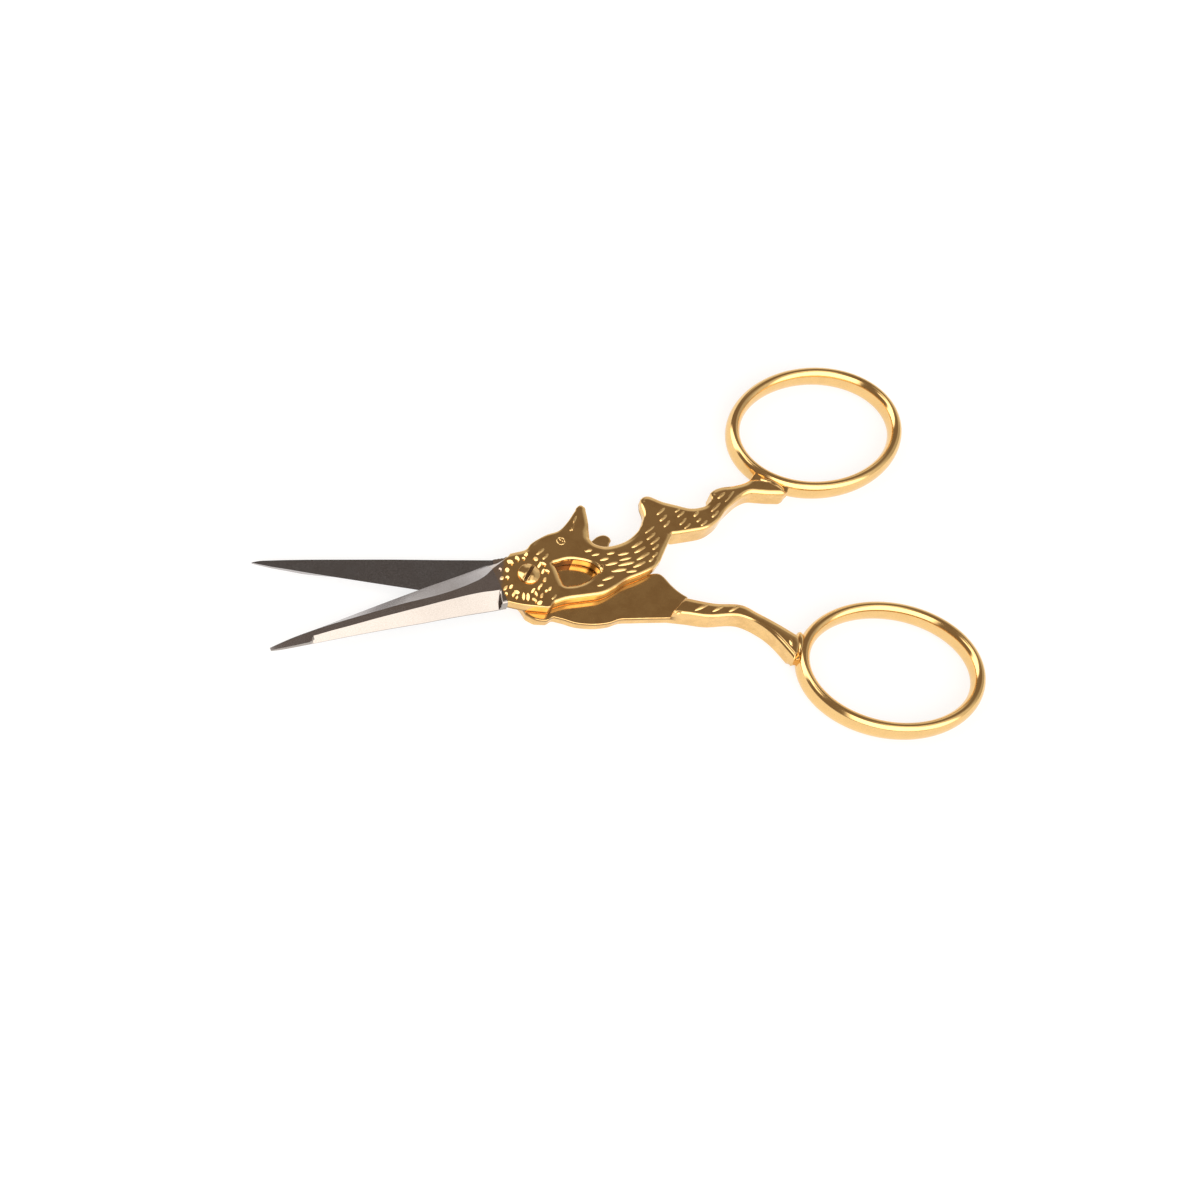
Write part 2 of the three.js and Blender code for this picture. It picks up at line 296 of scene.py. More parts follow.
@dataclass
class Skin:
    """A surface under way: its points and its faces of four corners, with a finish number for each face."""

    points: Points = field(default_factory=lambda: np.zeros((0, 3)))
    quads: np.ndarray = field(default_factory=lambda: np.zeros((0, 4), int))
    finish: np.ndarray = field(default_factory=lambda: np.zeros(0, int))

    def add(self, points: Points, quads: np.ndarray, finish: int | np.ndarray = 0) -> None:
        """Join more points and faces on.

        Args:
            points: (n, 3) array.
            quads: (m, 4) array of point numbers; a triangle repeats its last point.
            finish: number of the finish of all these faces, or one number for each.
        """
        self.quads = np.concatenate((self.quads, quads + len(self.points)))
        self.points = np.concatenate((self.points, points))
        self.finish = np.concatenate((self.finish, np.full(len(quads), finish)))

    def to_object(self, name: str, half: Half, finishes: list[bpy.types.Material],
                  crisp_degrees: float) -> bpy.types.Object:
        """Write the surface into a Blender object at the origin.

        Args:
            name: of the object.
            half: the half whose frame the points are in.
            finishes: materials, in the order of the finish numbers.
            crisp_degrees: edges that turn more than this are shaded crisp.
        Returns:
            The object.
        """
        mesh = bpy.data.meshes.new(name)
        whole = self.quads[:, 2] != self.quads[:, 3]
        sizes = np.where(whole, 4, 3)
        keep = np.ones(self.quads.shape, bool)
        keep[:, 3] = whole
        corners = self.quads[keep]
        mesh.vertices.add(len(self.points))
        mesh.vertices.foreach_set("co", half.to_rest(self.points).ravel())
        mesh.loops.add(len(corners))
        mesh.loops.foreach_set("vertex_index", corners.ravel())
        mesh.polygons.add(len(sizes))
        mesh.polygons.foreach_set("loop_start", np.concatenate(([0], np.cumsum(sizes)[:-1])))
        mesh.polygons.foreach_set("material_index", self.finish)
        mesh.polygons.foreach_set("use_smooth", np.ones(len(sizes), bool))
        mesh.update(calc_edges=True)
        mesh.validate()
        mesh.set_sharp_from_angle(angle=math.radians(crisp_degrees))
        for material in finishes:
            mesh.materials.append(material)
        piece = bpy.data.objects.new(name, mesh)
        bpy.context.scene.collection.objects.link(piece)
        return piece


def grid_quads(rows: int, columns: int, wrap_rows: bool, wrap_columns: bool) -> np.ndarray:
    """Faces of a grid of points, row after row.

    Args:
        rows: how many rows of points.
        columns: points in a row.
        wrap_rows: the last row joins the first.
        wrap_columns: the last column joins the first.
    Returns:
        (m, 4) array of point numbers.
    """
    i = np.arange(rows if wrap_rows else rows - 1)[:, None]
    j = np.arange(columns if wrap_columns else columns - 1)[None, :]
    i2, j2 = (i + 1) % rows, (j + 1) % columns
    return np.stack((i * columns + j + 0 * i2, i * columns + j2, i2 * columns + j2, i2 * columns + j),
                    axis=-1).reshape(-1, 4)


def surface_net(solid: Field, low: Points, high: Points, step: float) -> tuple[Points, np.ndarray]:
    """Skin a solid that is given by its signed distance.

    Formula: a point in each grid cell that the surface passes through, at the mean of where it crosses the
    cell's edges, and a face round each crossed edge. The points then move along the slope onto the surface.

    Args:
        solid: signed distance, negative inside.
        low: lowest corner of the grid.
        high: highest corner.
        step: side of a cell.
    Returns:
        Points and faces of four corners that look outwards.
    """
    counts = np.ceil((high - low) / step).astype(int) + 1
    axes = [low[k] + step * np.arange(counts[k]) for k in range(3)]
    values = solid(axes[0][:, None, None], axes[1][None, :, None], axes[2][None, None, :])
    inside = values < 0
    rings, crossings = [], []
    for axis in range(3):
        ahead = np.roll(inside, -1, axis=axis)
        index = np.argwhere(inside != ahead)
        index = index[index[:, axis] < counts[axis] - 1]
        beyond = index.copy()
        beyond[:, axis] += 1
        first, second = values[tuple(index.T)], values[tuple(beyond.T)]
        crossing = index.astype(float)
        crossing[:, axis] += first / (first - second)
        u, v = (axis + 1) % 3, (axis + 2) % 3
        ring = np.repeat(index[:, None], 4, axis=1)
        ring[:, :, u] += np.array([0, -1, -1, 0])
        ring[:, :, v] += np.array([0, 0, -1, -1])
        ring = np.where((first < 0)[:, None, None], ring, ring[:, ::-1])
        rings.append((ring[..., 0] * counts[1] + ring[..., 1]) * counts[2] + ring[..., 2])
        crossings.append(crossing)
    ring, crossing = np.concatenate(rings), np.concatenate(crossings)
    cells, quads = np.unique(ring.ravel(), return_inverse=True)
    quads = quads.reshape(-1, 4)
    weight = np.bincount(quads.ravel(), minlength=len(cells))
    each = np.repeat(crossing, 4, axis=0)
    sums = [np.bincount(quads.ravel(), weights=each[:, k], minlength=len(cells)) for k in range(3)]
    points = low + step * np.stack(sums, axis=1) / weight[:, None]
    moves, least_square, furthest = 6, 0.2, 0.7 * step
    start, reach = points.copy(), 0.05 * step
    for _ in range(moves):
        value = solid(*points.T)
        rises = [solid(*(points + reach * side).T) - solid(*(points - reach * side).T) for side in np.eye(3)]
        slope = np.stack(rises, axis=1) / (2 * reach)
        size = np.maximum((slope ** 2).sum(axis=1), least_square)
        points = points - (value / size)[:, None] * slope
        points = start + np.clip(points - start, -furthest, furthest)
    return points, quads


# Points round the section of a stroke or petal: place across and rise, as shares of its width.
STROKE_SECTION = np.array([
    (-0.5, -0.06), (-0.3, 0.11), (-0.06, 0.25), (0.18, 0.36), (0.32, 0.37), (0.42, 0.26), (0.5, -0.06),
    (0.0, -0.2),
])
STATIONS = 8
# The petals take these slopes in turn.
PETAL_SLOPES = np.array([0.56, 0.46, 0.7, 0.5, 0.36, 0.62, 0.42])


def stroke_base(start: Points, end: Points, width: float, facing: Points,
                fullness: float) -> tuple[Points, np.ndarray]:
    """Places of a stroke's points on its face.

    Formula: stations along the stroke, closer together at its ends. Each has the section's places across, times
    the width and a power of the sine along the stroke.

    Args:
        start: (2,) first end.
        end: (2,) second end.
        width: across the middle.
        facing: (2,) direction that the section's first side looks to.
        fullness: the power; lower is blunter.
    Returns:
        (stations, 8, 2) array of places and (stations, 1) array of widths.
    """
    end_turn = 0.06
    along = end - start
    across = np.array([-along[1], along[0]]) / np.linalg.norm(along)
    across = across if across @ facing < 0 else -across
    t = 0.5 - 0.5 * np.cos(np.linspace(end_turn, math.pi - end_turn, STATIONS))[:, None]
    swell = width * np.sin(math.pi * t) ** fullness
    return (start + t[..., None] * along) + (swell * STROKE_SECTION[:, 0])[..., None] * across, swell


def stroke_points(start: Points, end: Points, width: float, level: float, up: float,
                  facing: Points) -> Points:
    """The points of one raised stroke: a wedge with a long flank on one side and a steep one on the other.

    Args:
        start: (2,) first end.
        end: (2,) second end.
        width: across the middle.
        level: height of the face that it stands on.
        up: 1 where the face looks up in the half's frame, or -1.
        facing: (2,) direction that the long flank looks to.
    Returns:
        (stations * 8, 3) array.
    """
    flat, swell = stroke_base(start, end, width, facing, fullness=0.4)
    rise = level + up * swell * STROKE_SECTION[:, 1]
    return np.concatenate((flat, rise[..., None]), axis=2).reshape(-1, 3)


def petal_points(start: Points, end: Points, width: float, level: float, steep: float) -> Points:
    """The points of one petal of the rosette: an oval lump whose top is ground to face a light.

    Formula: the top is a plane that falls to -X or -Y, whichever lies more across the petal, kept between a
    lowest and a highest rise.

    Args:
        start: (2,) first end.
        end: (2,) second end.
        width: across the middle.
        level: height of the face that it stands on.
        steep: slope of the top.
    Returns:
        (stations * 8, 3) array.
    """
    middle_rise, lowest, highest = 0.15, -0.05, 0.3
    along = np.abs(end - start)
    fall = np.array([-1.0, 0.0]) if along[1] > along[0] else np.array([-0.1, -0.995])
    flat, _ = stroke_base(start, end, width, fall, fullness=0.5)
    top = middle_rise - steep * ((flat - 0.5 * (start + end)) @ fall)
    sunk = STROKE_SECTION[:, 1]
    rise = np.where(sunk < 0, sunk * width, np.clip(top, lowest, highest))
    return np.concatenate((flat, (level + rise)[..., None]), axis=2).reshape(-1, 3)


def stroke_faces() -> tuple[np.ndarray, np.ndarray]:
    """Faces of one stroke.

    Formula: a tube of 8 points at each station, closed by a fan at both ends.

    Returns:
        The faces, and the same faces turned inside out.
    """
    ring = len(STROKE_SECTION)
    fan = np.arange(1, ring - 1)
    near = np.stack((0 * fan, fan + 1, fan, fan), axis=1)
    far = near[:, [0, 2, 1, 1]] + ring * (STATIONS - 1)
    faces = np.concatenate((grid_quads(STATIONS, ring, False, True), near, far))
    return faces, np.where(faces[:, 2:3] == faces[:, 3:4], faces[:, [0, 2, 1, 1]], faces[:, ::-1])


def add_petals(skin: Skin, petals: Points, level: float) -> None:
    """Set the rosette's petals on a face that looks up.

    Args:
        skin: the surface that gets them.
        petals: (n, 5) array of start, end and width.
        level: height of the face.
    """
    faces, turned = stroke_faces()
    slopes = PETAL_SLOPES[np.arange(len(petals)) % len(PETAL_SLOPES)]
    for petal, steep in zip(petals, slopes):
        points = petal_points(petal[:2], petal[2:4], petal[4], level, steep)
        side, along = points[0, :2] - points[6, :2], petal[2:4] - petal[:2]
        skin.add(points, turned if side[0] * along[1] - side[1] * along[0] < 0 else faces)


def add_strokes(skin: Skin, strokes: Points, level: float, up: float, facing: Points) -> None:
    """Set raised strokes on a face.

    Args:
        skin: the surface that gets them.
        strokes: (n, 5) array of start, end and width.
        level: height of the face.
        up: 1 where the face looks up in the half's frame, or -1.
        facing: (2,) direction that the long flanks look to.
    """
    faces, turned = stroke_faces()
    for stroke in strokes:
        along = stroke[2:4] - stroke[:2]
        leftward = -along[1] * facing[0] + along[0] * facing[1] < 0
        points = stroke_points(stroke[:2], stroke[2:4], stroke[4], level, up, facing)
        skin.add(points, turned if leftward == (up > 0) else faces)


# Finishes


class Nodes:
    """A node tree with short calls."""

    def __init__(self, tree: bpy.types.NodeTree) -> None:
        """Keep the tree."""
        self.tree = tree

    def add(self, kind: str, **values: object) -> bpy.types.Node:
        """Add a node.

        Args:
            kind: type of the node.
            values: properties by name, and inputs by their name with spaces as underscores.
        Returns:
            The node.
        """
        node = self.tree.nodes.new(kind)
        for name, value in values.items():
            if hasattr(node, name):
                setattr(node, name, value)
            else:
                node.inputs[name.replace("_", " ")].default_value = value
        return node

    def link(self, output: bpy.types.NodeSocket, target: bpy.types.NodeSocket) -> None:
        """Join an output to an input."""
        self.tree.links.new(output, target)

    def math(self, operation: str, first: object, second: object = 0.0, third: object = 0.0,
             clamp: bool = False) -> bpy.types.NodeSocket:
        """Add a Math node.

        Args:
            operation: of the node.
            first: first input, a socket or a number.
            second: second input.
            third: third input.
            clamp: keep the result from 0 to 1.
        Returns:
            Its output.
        """
        node = self.tree.nodes.new("ShaderNodeMath")
        node.operation, node.use_clamp = operation, clamp
        for socket, value in zip(node.inputs, (first, second, third)):
            if isinstance(value, bpy.types.NodeSocket):
                self.link(value, socket)
            else:
                socket.default_value = value
        return node.outputs[0]

    def step(self, value: bpy.types.NodeSocket, low: float, high: float) -> bpy.types.NodeSocket:
        """Add a smooth step from 0 at low to 1 at high.

        Args:
            value: input.
            low: where it starts.
            high: where it ends; below low, the step falls.
        Returns:
            Its output.
        """
        node = self.tree.nodes.new("ShaderNodeMapRange")
        node.interpolation_type = "SMOOTHSTEP"
        self.link(value, node.inputs["Value"])
        falling = high < low
        node.inputs["From Min"].default_value = min(low, high)
        node.inputs["From Max"].default_value = max(low, high)
        node.inputs["To Min"].default_value = 1.0 if falling else 0.0
        node.inputs["To Max"].default_value = 0.0 if falling else 1.0
        return node.outputs[0]

    def mix(self, share: bpy.types.NodeSocket, first: object, second: object) -> bpy.types.NodeSocket:
        """Add a colour Mix node.

        Args:
            share: of the second colour.
            first: colour or socket.
            second: colour or socket.
        Returns:
            The mixed colour.
        """
        node = self.tree.nodes.new("ShaderNodeMix")
        node.data_type = "RGBA"
        self.link(share, node.inputs[0])
        for socket, value in ((node.inputs[6], first), (node.inputs[7], second)):
            if isinstance(value, bpy.types.NodeSocket):
                self.link(value, socket)
            else:
                socket.default_value = (*value, 1.0)
        return node.outputs[2]


def effect_group(name: str, inputs: dict[str, tuple[str, object]], outputs: dict[str, str],
                 build: Callable[[Nodes, bpy.types.Node, bpy.types.Node], None]) -> bpy.types.NodeTree:
    """Make a shader node group.

    Args:
        name: of the group.
        inputs: socket type and default value by input name.
        outputs: socket type by output name.
        build: fills the group between its input and output nodes.
    Returns:
        The group.
    """
    tree = bpy.data.node_groups.new(name, "ShaderNodeTree")
    for label, (kind, value) in inputs.items():
        socket = tree.interface.new_socket(name=label, in_out="INPUT", socket_type=kind)
        if value is not None:
            socket.default_value = value
    for label, kind in outputs.items():
        tree.interface.new_socket(name=label, in_out="OUTPUT", socket_type=kind)
    nodes = Nodes(tree)
    build(nodes, tree.nodes.new("NodeGroupInput"), tree.nodes.new("NodeGroupOutput"))
    return tree


def build_polish(nodes: Nodes, start: bpy.types.Node, end: bpy.types.Node) -> None:
    """Fill the polish group: the height and roughness of worn polish, and where specks and clouds lie.

    Formula: the height is soft waviness plus hairlines, the roughness changes with specks and hairlines, and
    the clouds are a smooth step of a broad noise.

    Args:
        nodes: the group's tree.
        start: its input node.
        end: its output node.
    """
    wave = nodes.add("ShaderNodeTexNoise", Scale=900.0, Detail=2.0)
    speck = nodes.add("ShaderNodeTexNoise", Scale=9000.0, Detail=3.0, Roughness=0.6)
    stretch = nodes.add("ShaderNodeMapping", Scale=(1800.0, 16000.0, 9000.0), Rotation=(0.0, 0.0, 0.6))
    hair = nodes.add("ShaderNodeTexNoise", Scale=1.0, Detail=2.0, Roughness=0.7)
    mean, weight = 0.5, 0.5
    cloud_start, cloud_full = 0.38, 0.66
    for node in (wave, speck, stretch):
        nodes.link(start.outputs["Place"], node.inputs["Vector"])
    nodes.link(stretch.outputs[0], hair.inputs["Vector"])
    low = nodes.math("MULTIPLY", wave.outputs[0], start.outputs["Wave"])
    fine = nodes.math("MULTIPLY", hair.outputs[0], start.outputs["Hairline"])
    nodes.link(nodes.math("ADD", low, fine), end.inputs["Height"])
    rough = nodes.math("MULTIPLY_ADD", nodes.math("SUBTRACT", speck.outputs[0], mean), weight,
                       nodes.math("MULTIPLY", hair.outputs[0], weight))
    nodes.link(nodes.math("MULTIPLY_ADD", rough, start.outputs["Spread"], start.outputs["Roughness"]),
               end.inputs["Roughness"])
    nodes.link(speck.outputs[0], end.inputs["Speck"])
    cloud = nodes.add("ShaderNodeTexNoise", Scale=520.0, Detail=3.0, Roughness=0.6)
    nodes.link(start.outputs["Place"], cloud.inputs["Vector"])
    nodes.link(nodes.step(cloud.outputs[0], cloud_start, cloud_full), end.inputs["Cloud"])


def build_plating(nodes: Nodes, start: bpy.types.Node, end: bpy.types.Node) -> None:
    """Fill the plating group: where the gold thins out to bare steel, and a painted shade along the seam
    between the halves.

    Formula: the gold starts past a line slanted to the blade. The painted seam shade is a band round the height
    where the halves meet, on faces that look sideways, as far as the halves lap; it stands in for the shadow in
    that crease. All lengths here are metres.

    Args:
        nodes: the group's tree.
        start: its input node.
        end: its output node.
    """
    slant, drift_width = -0.53, 0.0012
    bare_end, gold_start = -0.0041, -0.0032
    band_full, band_end = 0.00016, 0.0005
    lap_end, lap_past = 0.0175, 0.0185
    sideways, upward = 0.35, 0.75
    split = nodes.add("ShaderNodeSeparateXYZ")
    blur = nodes.add("ShaderNodeTexNoise", Scale=1500.0, Detail=3.0)
    nodes.link(start.outputs["Place"], split.inputs[0])
    nodes.link(start.outputs["Place"], blur.inputs["Vector"])
    drift = nodes.math("MULTIPLY_ADD", nodes.math("SUBTRACT", blur.outputs[0], 0.5), drift_width,
                       split.outputs["X"])
    place = nodes.math("MULTIPLY_ADD", split.outputs["Y"], slant, drift)
    nodes.link(nodes.step(place, bare_end, gold_start), end.inputs["Gold"])
    facing = nodes.add("ShaderNodeSeparateXYZ")
    nodes.link(start.outputs["Facing"], facing.inputs[0])
    level = nodes.step(nodes.math("ABSOLUTE", facing.outputs["Z"]), sideways, upward)
    from_seam = nodes.math("ABSOLUTE", nodes.math("SUBTRACT", split.outputs["Z"], HALF_THICKNESS * MM))
    apart = nodes.math("MAXIMUM", nodes.step(from_seam, band_full, band_end),
                       nodes.step(split.outputs["X"], lap_end, lap_past))
    nodes.link(nodes.math("MULTIPLY", nodes.math("SUBTRACT", 1.0, level), nodes.math("SUBTRACT", 1.0, apart)),
               end.inputs["Seam"])


BARE_STEEL = (0.60, 0.54, 0.50)
# Painted shade along the seam between the halves: its dark colour and how much of it is mixed in, in place of
# the crease's shadow.
PAINTED_SEAM_SHADE = (0.12, 0.05, 0.015)
PAINTED_SEAM_SHARE = 0.85
SPECK_DIRT = (0.02, 0.015, 0.01)
SPECK_LIMIT = 0.75
CLOUD_TONE = (0.7, 0.6, 0.52)


@dataclass(frozen=True)
class Metal:
    """A metal finish.

    Attributes:
        name: of the material.
        color: of the bare metal, linear.
        roughness: mean roughness.
        spread: how much specks and hairlines change it.
        wave: height of the soft waviness, in metres.
        hairline: height of the hairlines, in metres.
        mottle: how much specks darken the colour.
        cloud: how much soft clouds darken and warm the colour.
    """

    name: str
    color: tuple[float, float, float]
    roughness: float
    spread: float
    wave: float
    hairline: float
    mottle: float
    cloud: float

    def material(self, half: Half, polish: bpy.types.NodeTree,
                 plating: bpy.types.NodeTree | None = None) -> bpy.types.Material:
        """Make the material for one half, with its pattern turned as the half lies.

        Args:
            half: the half.
            polish: the polish group.
            plating: the plating group, where the gold ends within the piece and the painted seam shade lies.
        Returns:
            The material.
        """
        material = bpy.data.materials.new(f"{self.name}_{half.name.lower()}")
        material.use_nodes = True
        nodes = Nodes(material.node_tree)
        shader = material.node_tree.nodes["Principled BSDF"]
        place = nodes.add("ShaderNodeTexCoord")
        turn = nodes.add("ShaderNodeMapping", Rotation=(0.0, 0.0, -math.radians(half.value[0])))
        nodes.link(place.outputs["Object"], turn.inputs["Vector"])
        marks = nodes.add("ShaderNodeGroup", node_tree=polish)
        for label, value in (("Roughness", self.roughness), ("Spread", self.spread), ("Wave", self.wave),
                             ("Hairline", self.hairline)):
            marks.inputs[label].default_value = value
        nodes.link(turn.outputs[0], marks.inputs["Place"])
        color: object = self.color
        if plating is not None:
            gold = nodes.add("ShaderNodeGroup", node_tree=plating)
            nodes.link(turn.outputs[0], gold.inputs["Place"])
            nodes.link(nodes.add("ShaderNodeNewGeometry").outputs["Normal"], gold.inputs["Facing"])
            color = nodes.mix(gold.outputs["Gold"], BARE_STEEL, self.color)
            # Painted shade: side faces along the seam between the halves are darkened.
            color = nodes.mix(nodes.math("MULTIPLY", gold.outputs["Seam"], PAINTED_SEAM_SHARE), color, PAINTED_SEAM_SHADE)
        deep = tuple(part * tone for part, tone in zip(self.color, CLOUD_TONE))
        color = nodes.mix(nodes.math("MULTIPLY", marks.outputs["Cloud"], self.cloud), color, deep)
        dark = nodes.math("SUBTRACT", SPECK_LIMIT, marks.outputs["Speck"], clamp=True)
        nodes.link(nodes.mix(nodes.math("MULTIPLY", dark, self.mottle), color, SPECK_DIRT),
                   shader.inputs["Base Color"])
        shader.inputs["Metallic"].default_value = 1.0
        nodes.link(marks.outputs["Roughness"], shader.inputs["Roughness"])
        bump = nodes.add("ShaderNodeBump", Strength=1.0, Distance=1.0)
        nodes.link(marks.outputs["Height"], bump.inputs["Height"])
        nodes.link(bump.outputs["Normal"], shader.inputs["Normal"])
        return material


GOLD = Metal("gold_plating", (0.95, 0.63, 0.265), 0.11, 0.05, 3e-6, 1.5e-7, 0.3, 0.35)
BOW_GOLD = replace(GOLD, name="bow_plating", cloud=0.1)
# Painted shade: a near-black brown for the window's inner wall, in place of the dark reflections inside that
# recess.
PAINTED_RECESS_SHADE = replace(GOLD, name="recess_painted_shade", color=(0.17, 0.06, 0.015), roughness=0.2)
# Painted shade: a dark colour, with a higher roughness, for the bottom of the screw's slot.
SLOT_SHADE = Metal("slot_shade", (0.26, 0.15, 0.07), 0.45, 0.2, 0.0, 4e-7, 0.6, 0.3)
BARE_FLAT = Metal("bare_flat", (0.55, 0.525, 0.545), 0.16, 0.08, 1.5e-6, 3e-7, 0.6, 0.2)
GROUND_FACET = Metal("ground_facet", (0.45, 0.41, 0.38), 0.16, 0.08, 1.5e-6, 3e-7, 0.4, 0.05)
SATIN_BEVEL = Metal("satin_bevel", (0.585, 0.555, 0.555), 0.22, 0.1, 1.5e-6, 6e-7, 0.5, 0.15)
INNER_GRIND = Metal("inner_grind", (0.43, 0.445, 0.49), 0.2, 0.12, 2e-6, 1.2e-6, 1.2, 0.2)


class Finishes:
    """The shared effect groups and the materials made with them."""

    def __init__(self) -> None:
        """Build the groups."""
        number, vector = "NodeSocketFloat", "NodeSocketVector"
        self.polish = effect_group(
            "polish_marks",
            {"Place": (vector, None), "Roughness": (number, 0.15), "Spread": (number, 0.1),
             "Wave": (number, 0.0), "Hairline": (number, 0.0)},
            {"Height": number, "Roughness": number, "Speck": number, "Cloud": number}, build_polish)
        self.plating = effect_group("plating_edge_and_seam_shade", {"Place": (vector, None), "Facing": (vector, None)},
                                    {"Gold": number, "Seam": number}, build_plating)

    def gold(self, half: Half) -> bpy.types.Material:
        """Gold plating for a bow or the screw."""
        return BOW_GOLD.material(half, self.polish)

    def slot_shade(self, half: Half) -> bpy.types.Material:
        """The painted shade at the bottom of the screw's slot: a dark colour on rougher metal."""
        return SLOT_SHADE.material(half, self.polish)

    def edged_gold(self, half: Half) -> list[bpy.types.Material]:
        """Gold plating that thins to steel at the plating line, with painted seam shade; and painted shade in
        the window.
        """
        return [metal.material(half, self.polish, self.plating) for metal in (GOLD, PAINTED_RECESS_SHADE)]

    def steel(self, half: Half) -> list[bpy.types.Material]:
        """Ground steel: the wide facet, the flat, the cutting bevel and the inner face, in this order."""
        metals = (GROUND_FACET, BARE_FLAT, SATIN_BEVEL, INNER_GRIND)
        return [metal.material(half, self.polish) for metal in metals]


# Pieces


def settle(piece: bpy.types.Object, half: Half, slot: str, *nodes: str) -> bpy.types.Object:
    """Tell the frame what a piece rides on and what it stands for, and report it.

    Args:
        piece: the finished object.
        half: the half that it belongs to.
        slot: name of a material slot; not used.
        nodes: CAD nodes that it replaces.
    Returns:
        The same object.
    """
    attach(piece, half.body)
    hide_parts(*nodes)
    log.info("%s: %d faces, stands for %s", piece.name, len(piece.data.polygons), ", ".join(nodes))
    return piece


@dataclass
class Blade:
    """A bare steel blade: a cutting bevel, a narrow flat along the ridge, and a wide facet down to the spine.

    Attributes:
        half: the half that it belongs to.
        cut_line: Y of the cutting edge over the share of the length from the tip.
        spine_line: Y of the spine.
        tip_reach: from the pivot to the tip.
        root_height: of the ridge at the root.
        tip_height: of the ridge at the tip.
        spine_height: of the wide facet's low edge at the tip.
        spine_rise: how much higher that edge lies at the root.
        cut_height: thickness left at the cutting edge.
        edge_round: radius of the spine's edge past the wide facet.
        rows: sections along the blade.
        dense_from: X from where the sections lie closer together.
        bevel_line: Y of the line where the bevel starts.
        crest_line: Y of the line where the wide facet starts.
        plunge: X of the curve where the wide facet ends, over the share from crest to spine.
        plunge_width: over which the facet eases up there.
        bevel_limit: share of the cutting edge's Y that the bevel line stays inside.
        crest_room: least distance from the crest to the spine.
        ridge_power: of the share, by which the ridge's height grows to the root.
    """

    half: Half
    cut_line: Points
    spine_line: Points
    tip_reach: float = 32.98
    root_height: float = 1.5
    tip_height: float = 0.25
    spine_height: float = 0.08
    spine_rise: float = 0.14
    cut_height: float = 0.06
    edge_round: float = 0.5
    rows: int = 150
    dense_from: float = -7.0
    bevel_line: Points = field(default_factory=lambda: np.array(
        [(0, 0.24), (0.1, 0.6), (0.18, 0.76), (0.255, 0.84), (0.35, 0.85), (0.5, 0.82), (0.6, 0.79),
         (0.66, 0.69), (0.727, 0.61), (0.79, 0.62), (0.835, 0.7), (0.892, 0.88), (0.935, 1.1), (0.965, 1.4),
         (1.0, 1.92)]))
    crest_line: Points = field(default_factory=lambda: np.array(
        [(0, -0.1), (0.1, -0.42), (0.14, -0.52), (0.163, -0.58), (0.18, 0.03), (0.2, 0.06), (0.245, 0.06),
         (0.35, -0.02), (0.45, -0.07), (0.556, -0.17), (0.66, -0.28), (0.766, -0.38), (0.872, -0.55),
         (0.923, -0.7), (0.973, -0.95), (1.0, -1.05)]))
    plunge: Points = field(default_factory=lambda: np.array(
        [(0, -4.36), (0.28, -4.58), (0.7, -4.85), (1.0, -4.98)]))
    plunge_width: float = 0.3
    bevel_limit: float = 0.92
    crest_room: float = 0.03
    ridge_power: float = 0.75

    def skin(self) -> Skin:
        """Work out the blade's surface.

        Formula: sections along X. Each runs from the inner face round the spine, up the wide facet to the
        crest, over the flat, down the bevel and back. Near the root the sections bend to follow the curved
        end of the wide facet, where its height eases up to the full height.

        Returns:
            The surface, with finish 0 on the wide facet, 1 on the flat, 2 on the bevel, 3 on the inner face.
        """
        facet, flat, bevel, inner = 14, 4, 10, 10
        q = np.linspace(0, 1, facet + 1)[None, :]
        arc = smooth_curve(q[0], self.plunge)
        places = np.stack((np.full(q.size, -self.tip_reach), np.full(q.size, self.dense_from), arc,
                           arc + self.plunge_width, np.full(q.size, PLATING_LINE)), axis=0)
        row_shares = np.array([0, 0.72, 0.86, 0.92, 1.0])
        rows = np.linspace(0, 1, self.rows)
        x_facet = np.stack([np.interp(rows, row_shares, places[:, k]) for k in range(q.size)], axis=1)
        x_line = x_facet[:, :1]
        s_facet, s_line = self.share(x_facet), self.share(x_line)
        spine, crest = self.spine(s_facet), self.crest(s_facet)
        y_facet = crest + q * (spine - crest)
        z_facet = self.facet_height(x_facet, y_facet, arc[None, :])
        y_crest, y_bevel, y_cut = self.crest(s_line), self.bevel(s_line), self.cut(s_line)
        z_top = self.ridge(s_line)
        z_cut = np.minimum(self.cut_height, z_top)
        across = np.linspace(0, 1, flat + 1)[None, 1:]
        down = np.linspace(0, 1, bevel + 1)[None, 1:]
        under = np.linspace(0, 1, inner + 1)[None, :]
        floor = 0.5 * RUNNING_GAP
        x_under = x_line + under * (x_facet[:, -1:] - x_line)
        y_under = y_cut + under * (spine[:, -1:] - y_cut)
        blocks = [
            (x_facet[:, ::-1], y_facet[:, ::-1], z_facet[:, ::-1]),
            (x_line + 0 * across, y_crest + across * (y_bevel - y_crest), z_top + 0 * across),
            (x_line + 0 * down, y_bevel + down * (y_cut - y_bevel), z_top + down * (z_cut - z_top)),
            (x_under, y_under, floor + 0 * y_under),
        ]
        grid = np.concatenate([np.stack(block, axis=-1) for block in blocks], axis=1)
        columns = grid.shape[1]
        quads = grid_quads(self.rows, columns, False, True)[:, ::-1]
        column = np.tile(np.arange(columns), self.rows - 1)
        finish = np.searchsorted([facet, facet + flat, facet + flat + bevel + 1], column, side="right")
        finish = np.where(column == columns - 1, 0, finish)
        fan = np.arange(1, columns - 1)
        tip_cap = np.stack((0 * fan, fan, fan + 1, fan + 1), axis=1)
        root_cap = (self.rows - 1) * columns + tip_cap[:, [0, 2, 1, 1]]
        skin = Skin()
        skin.add(grid.reshape(-1, 3), np.concatenate((quads, tip_cap, root_cap)),
                 np.concatenate((finish, np.zeros(2 * len(fan), int))))
        return skin

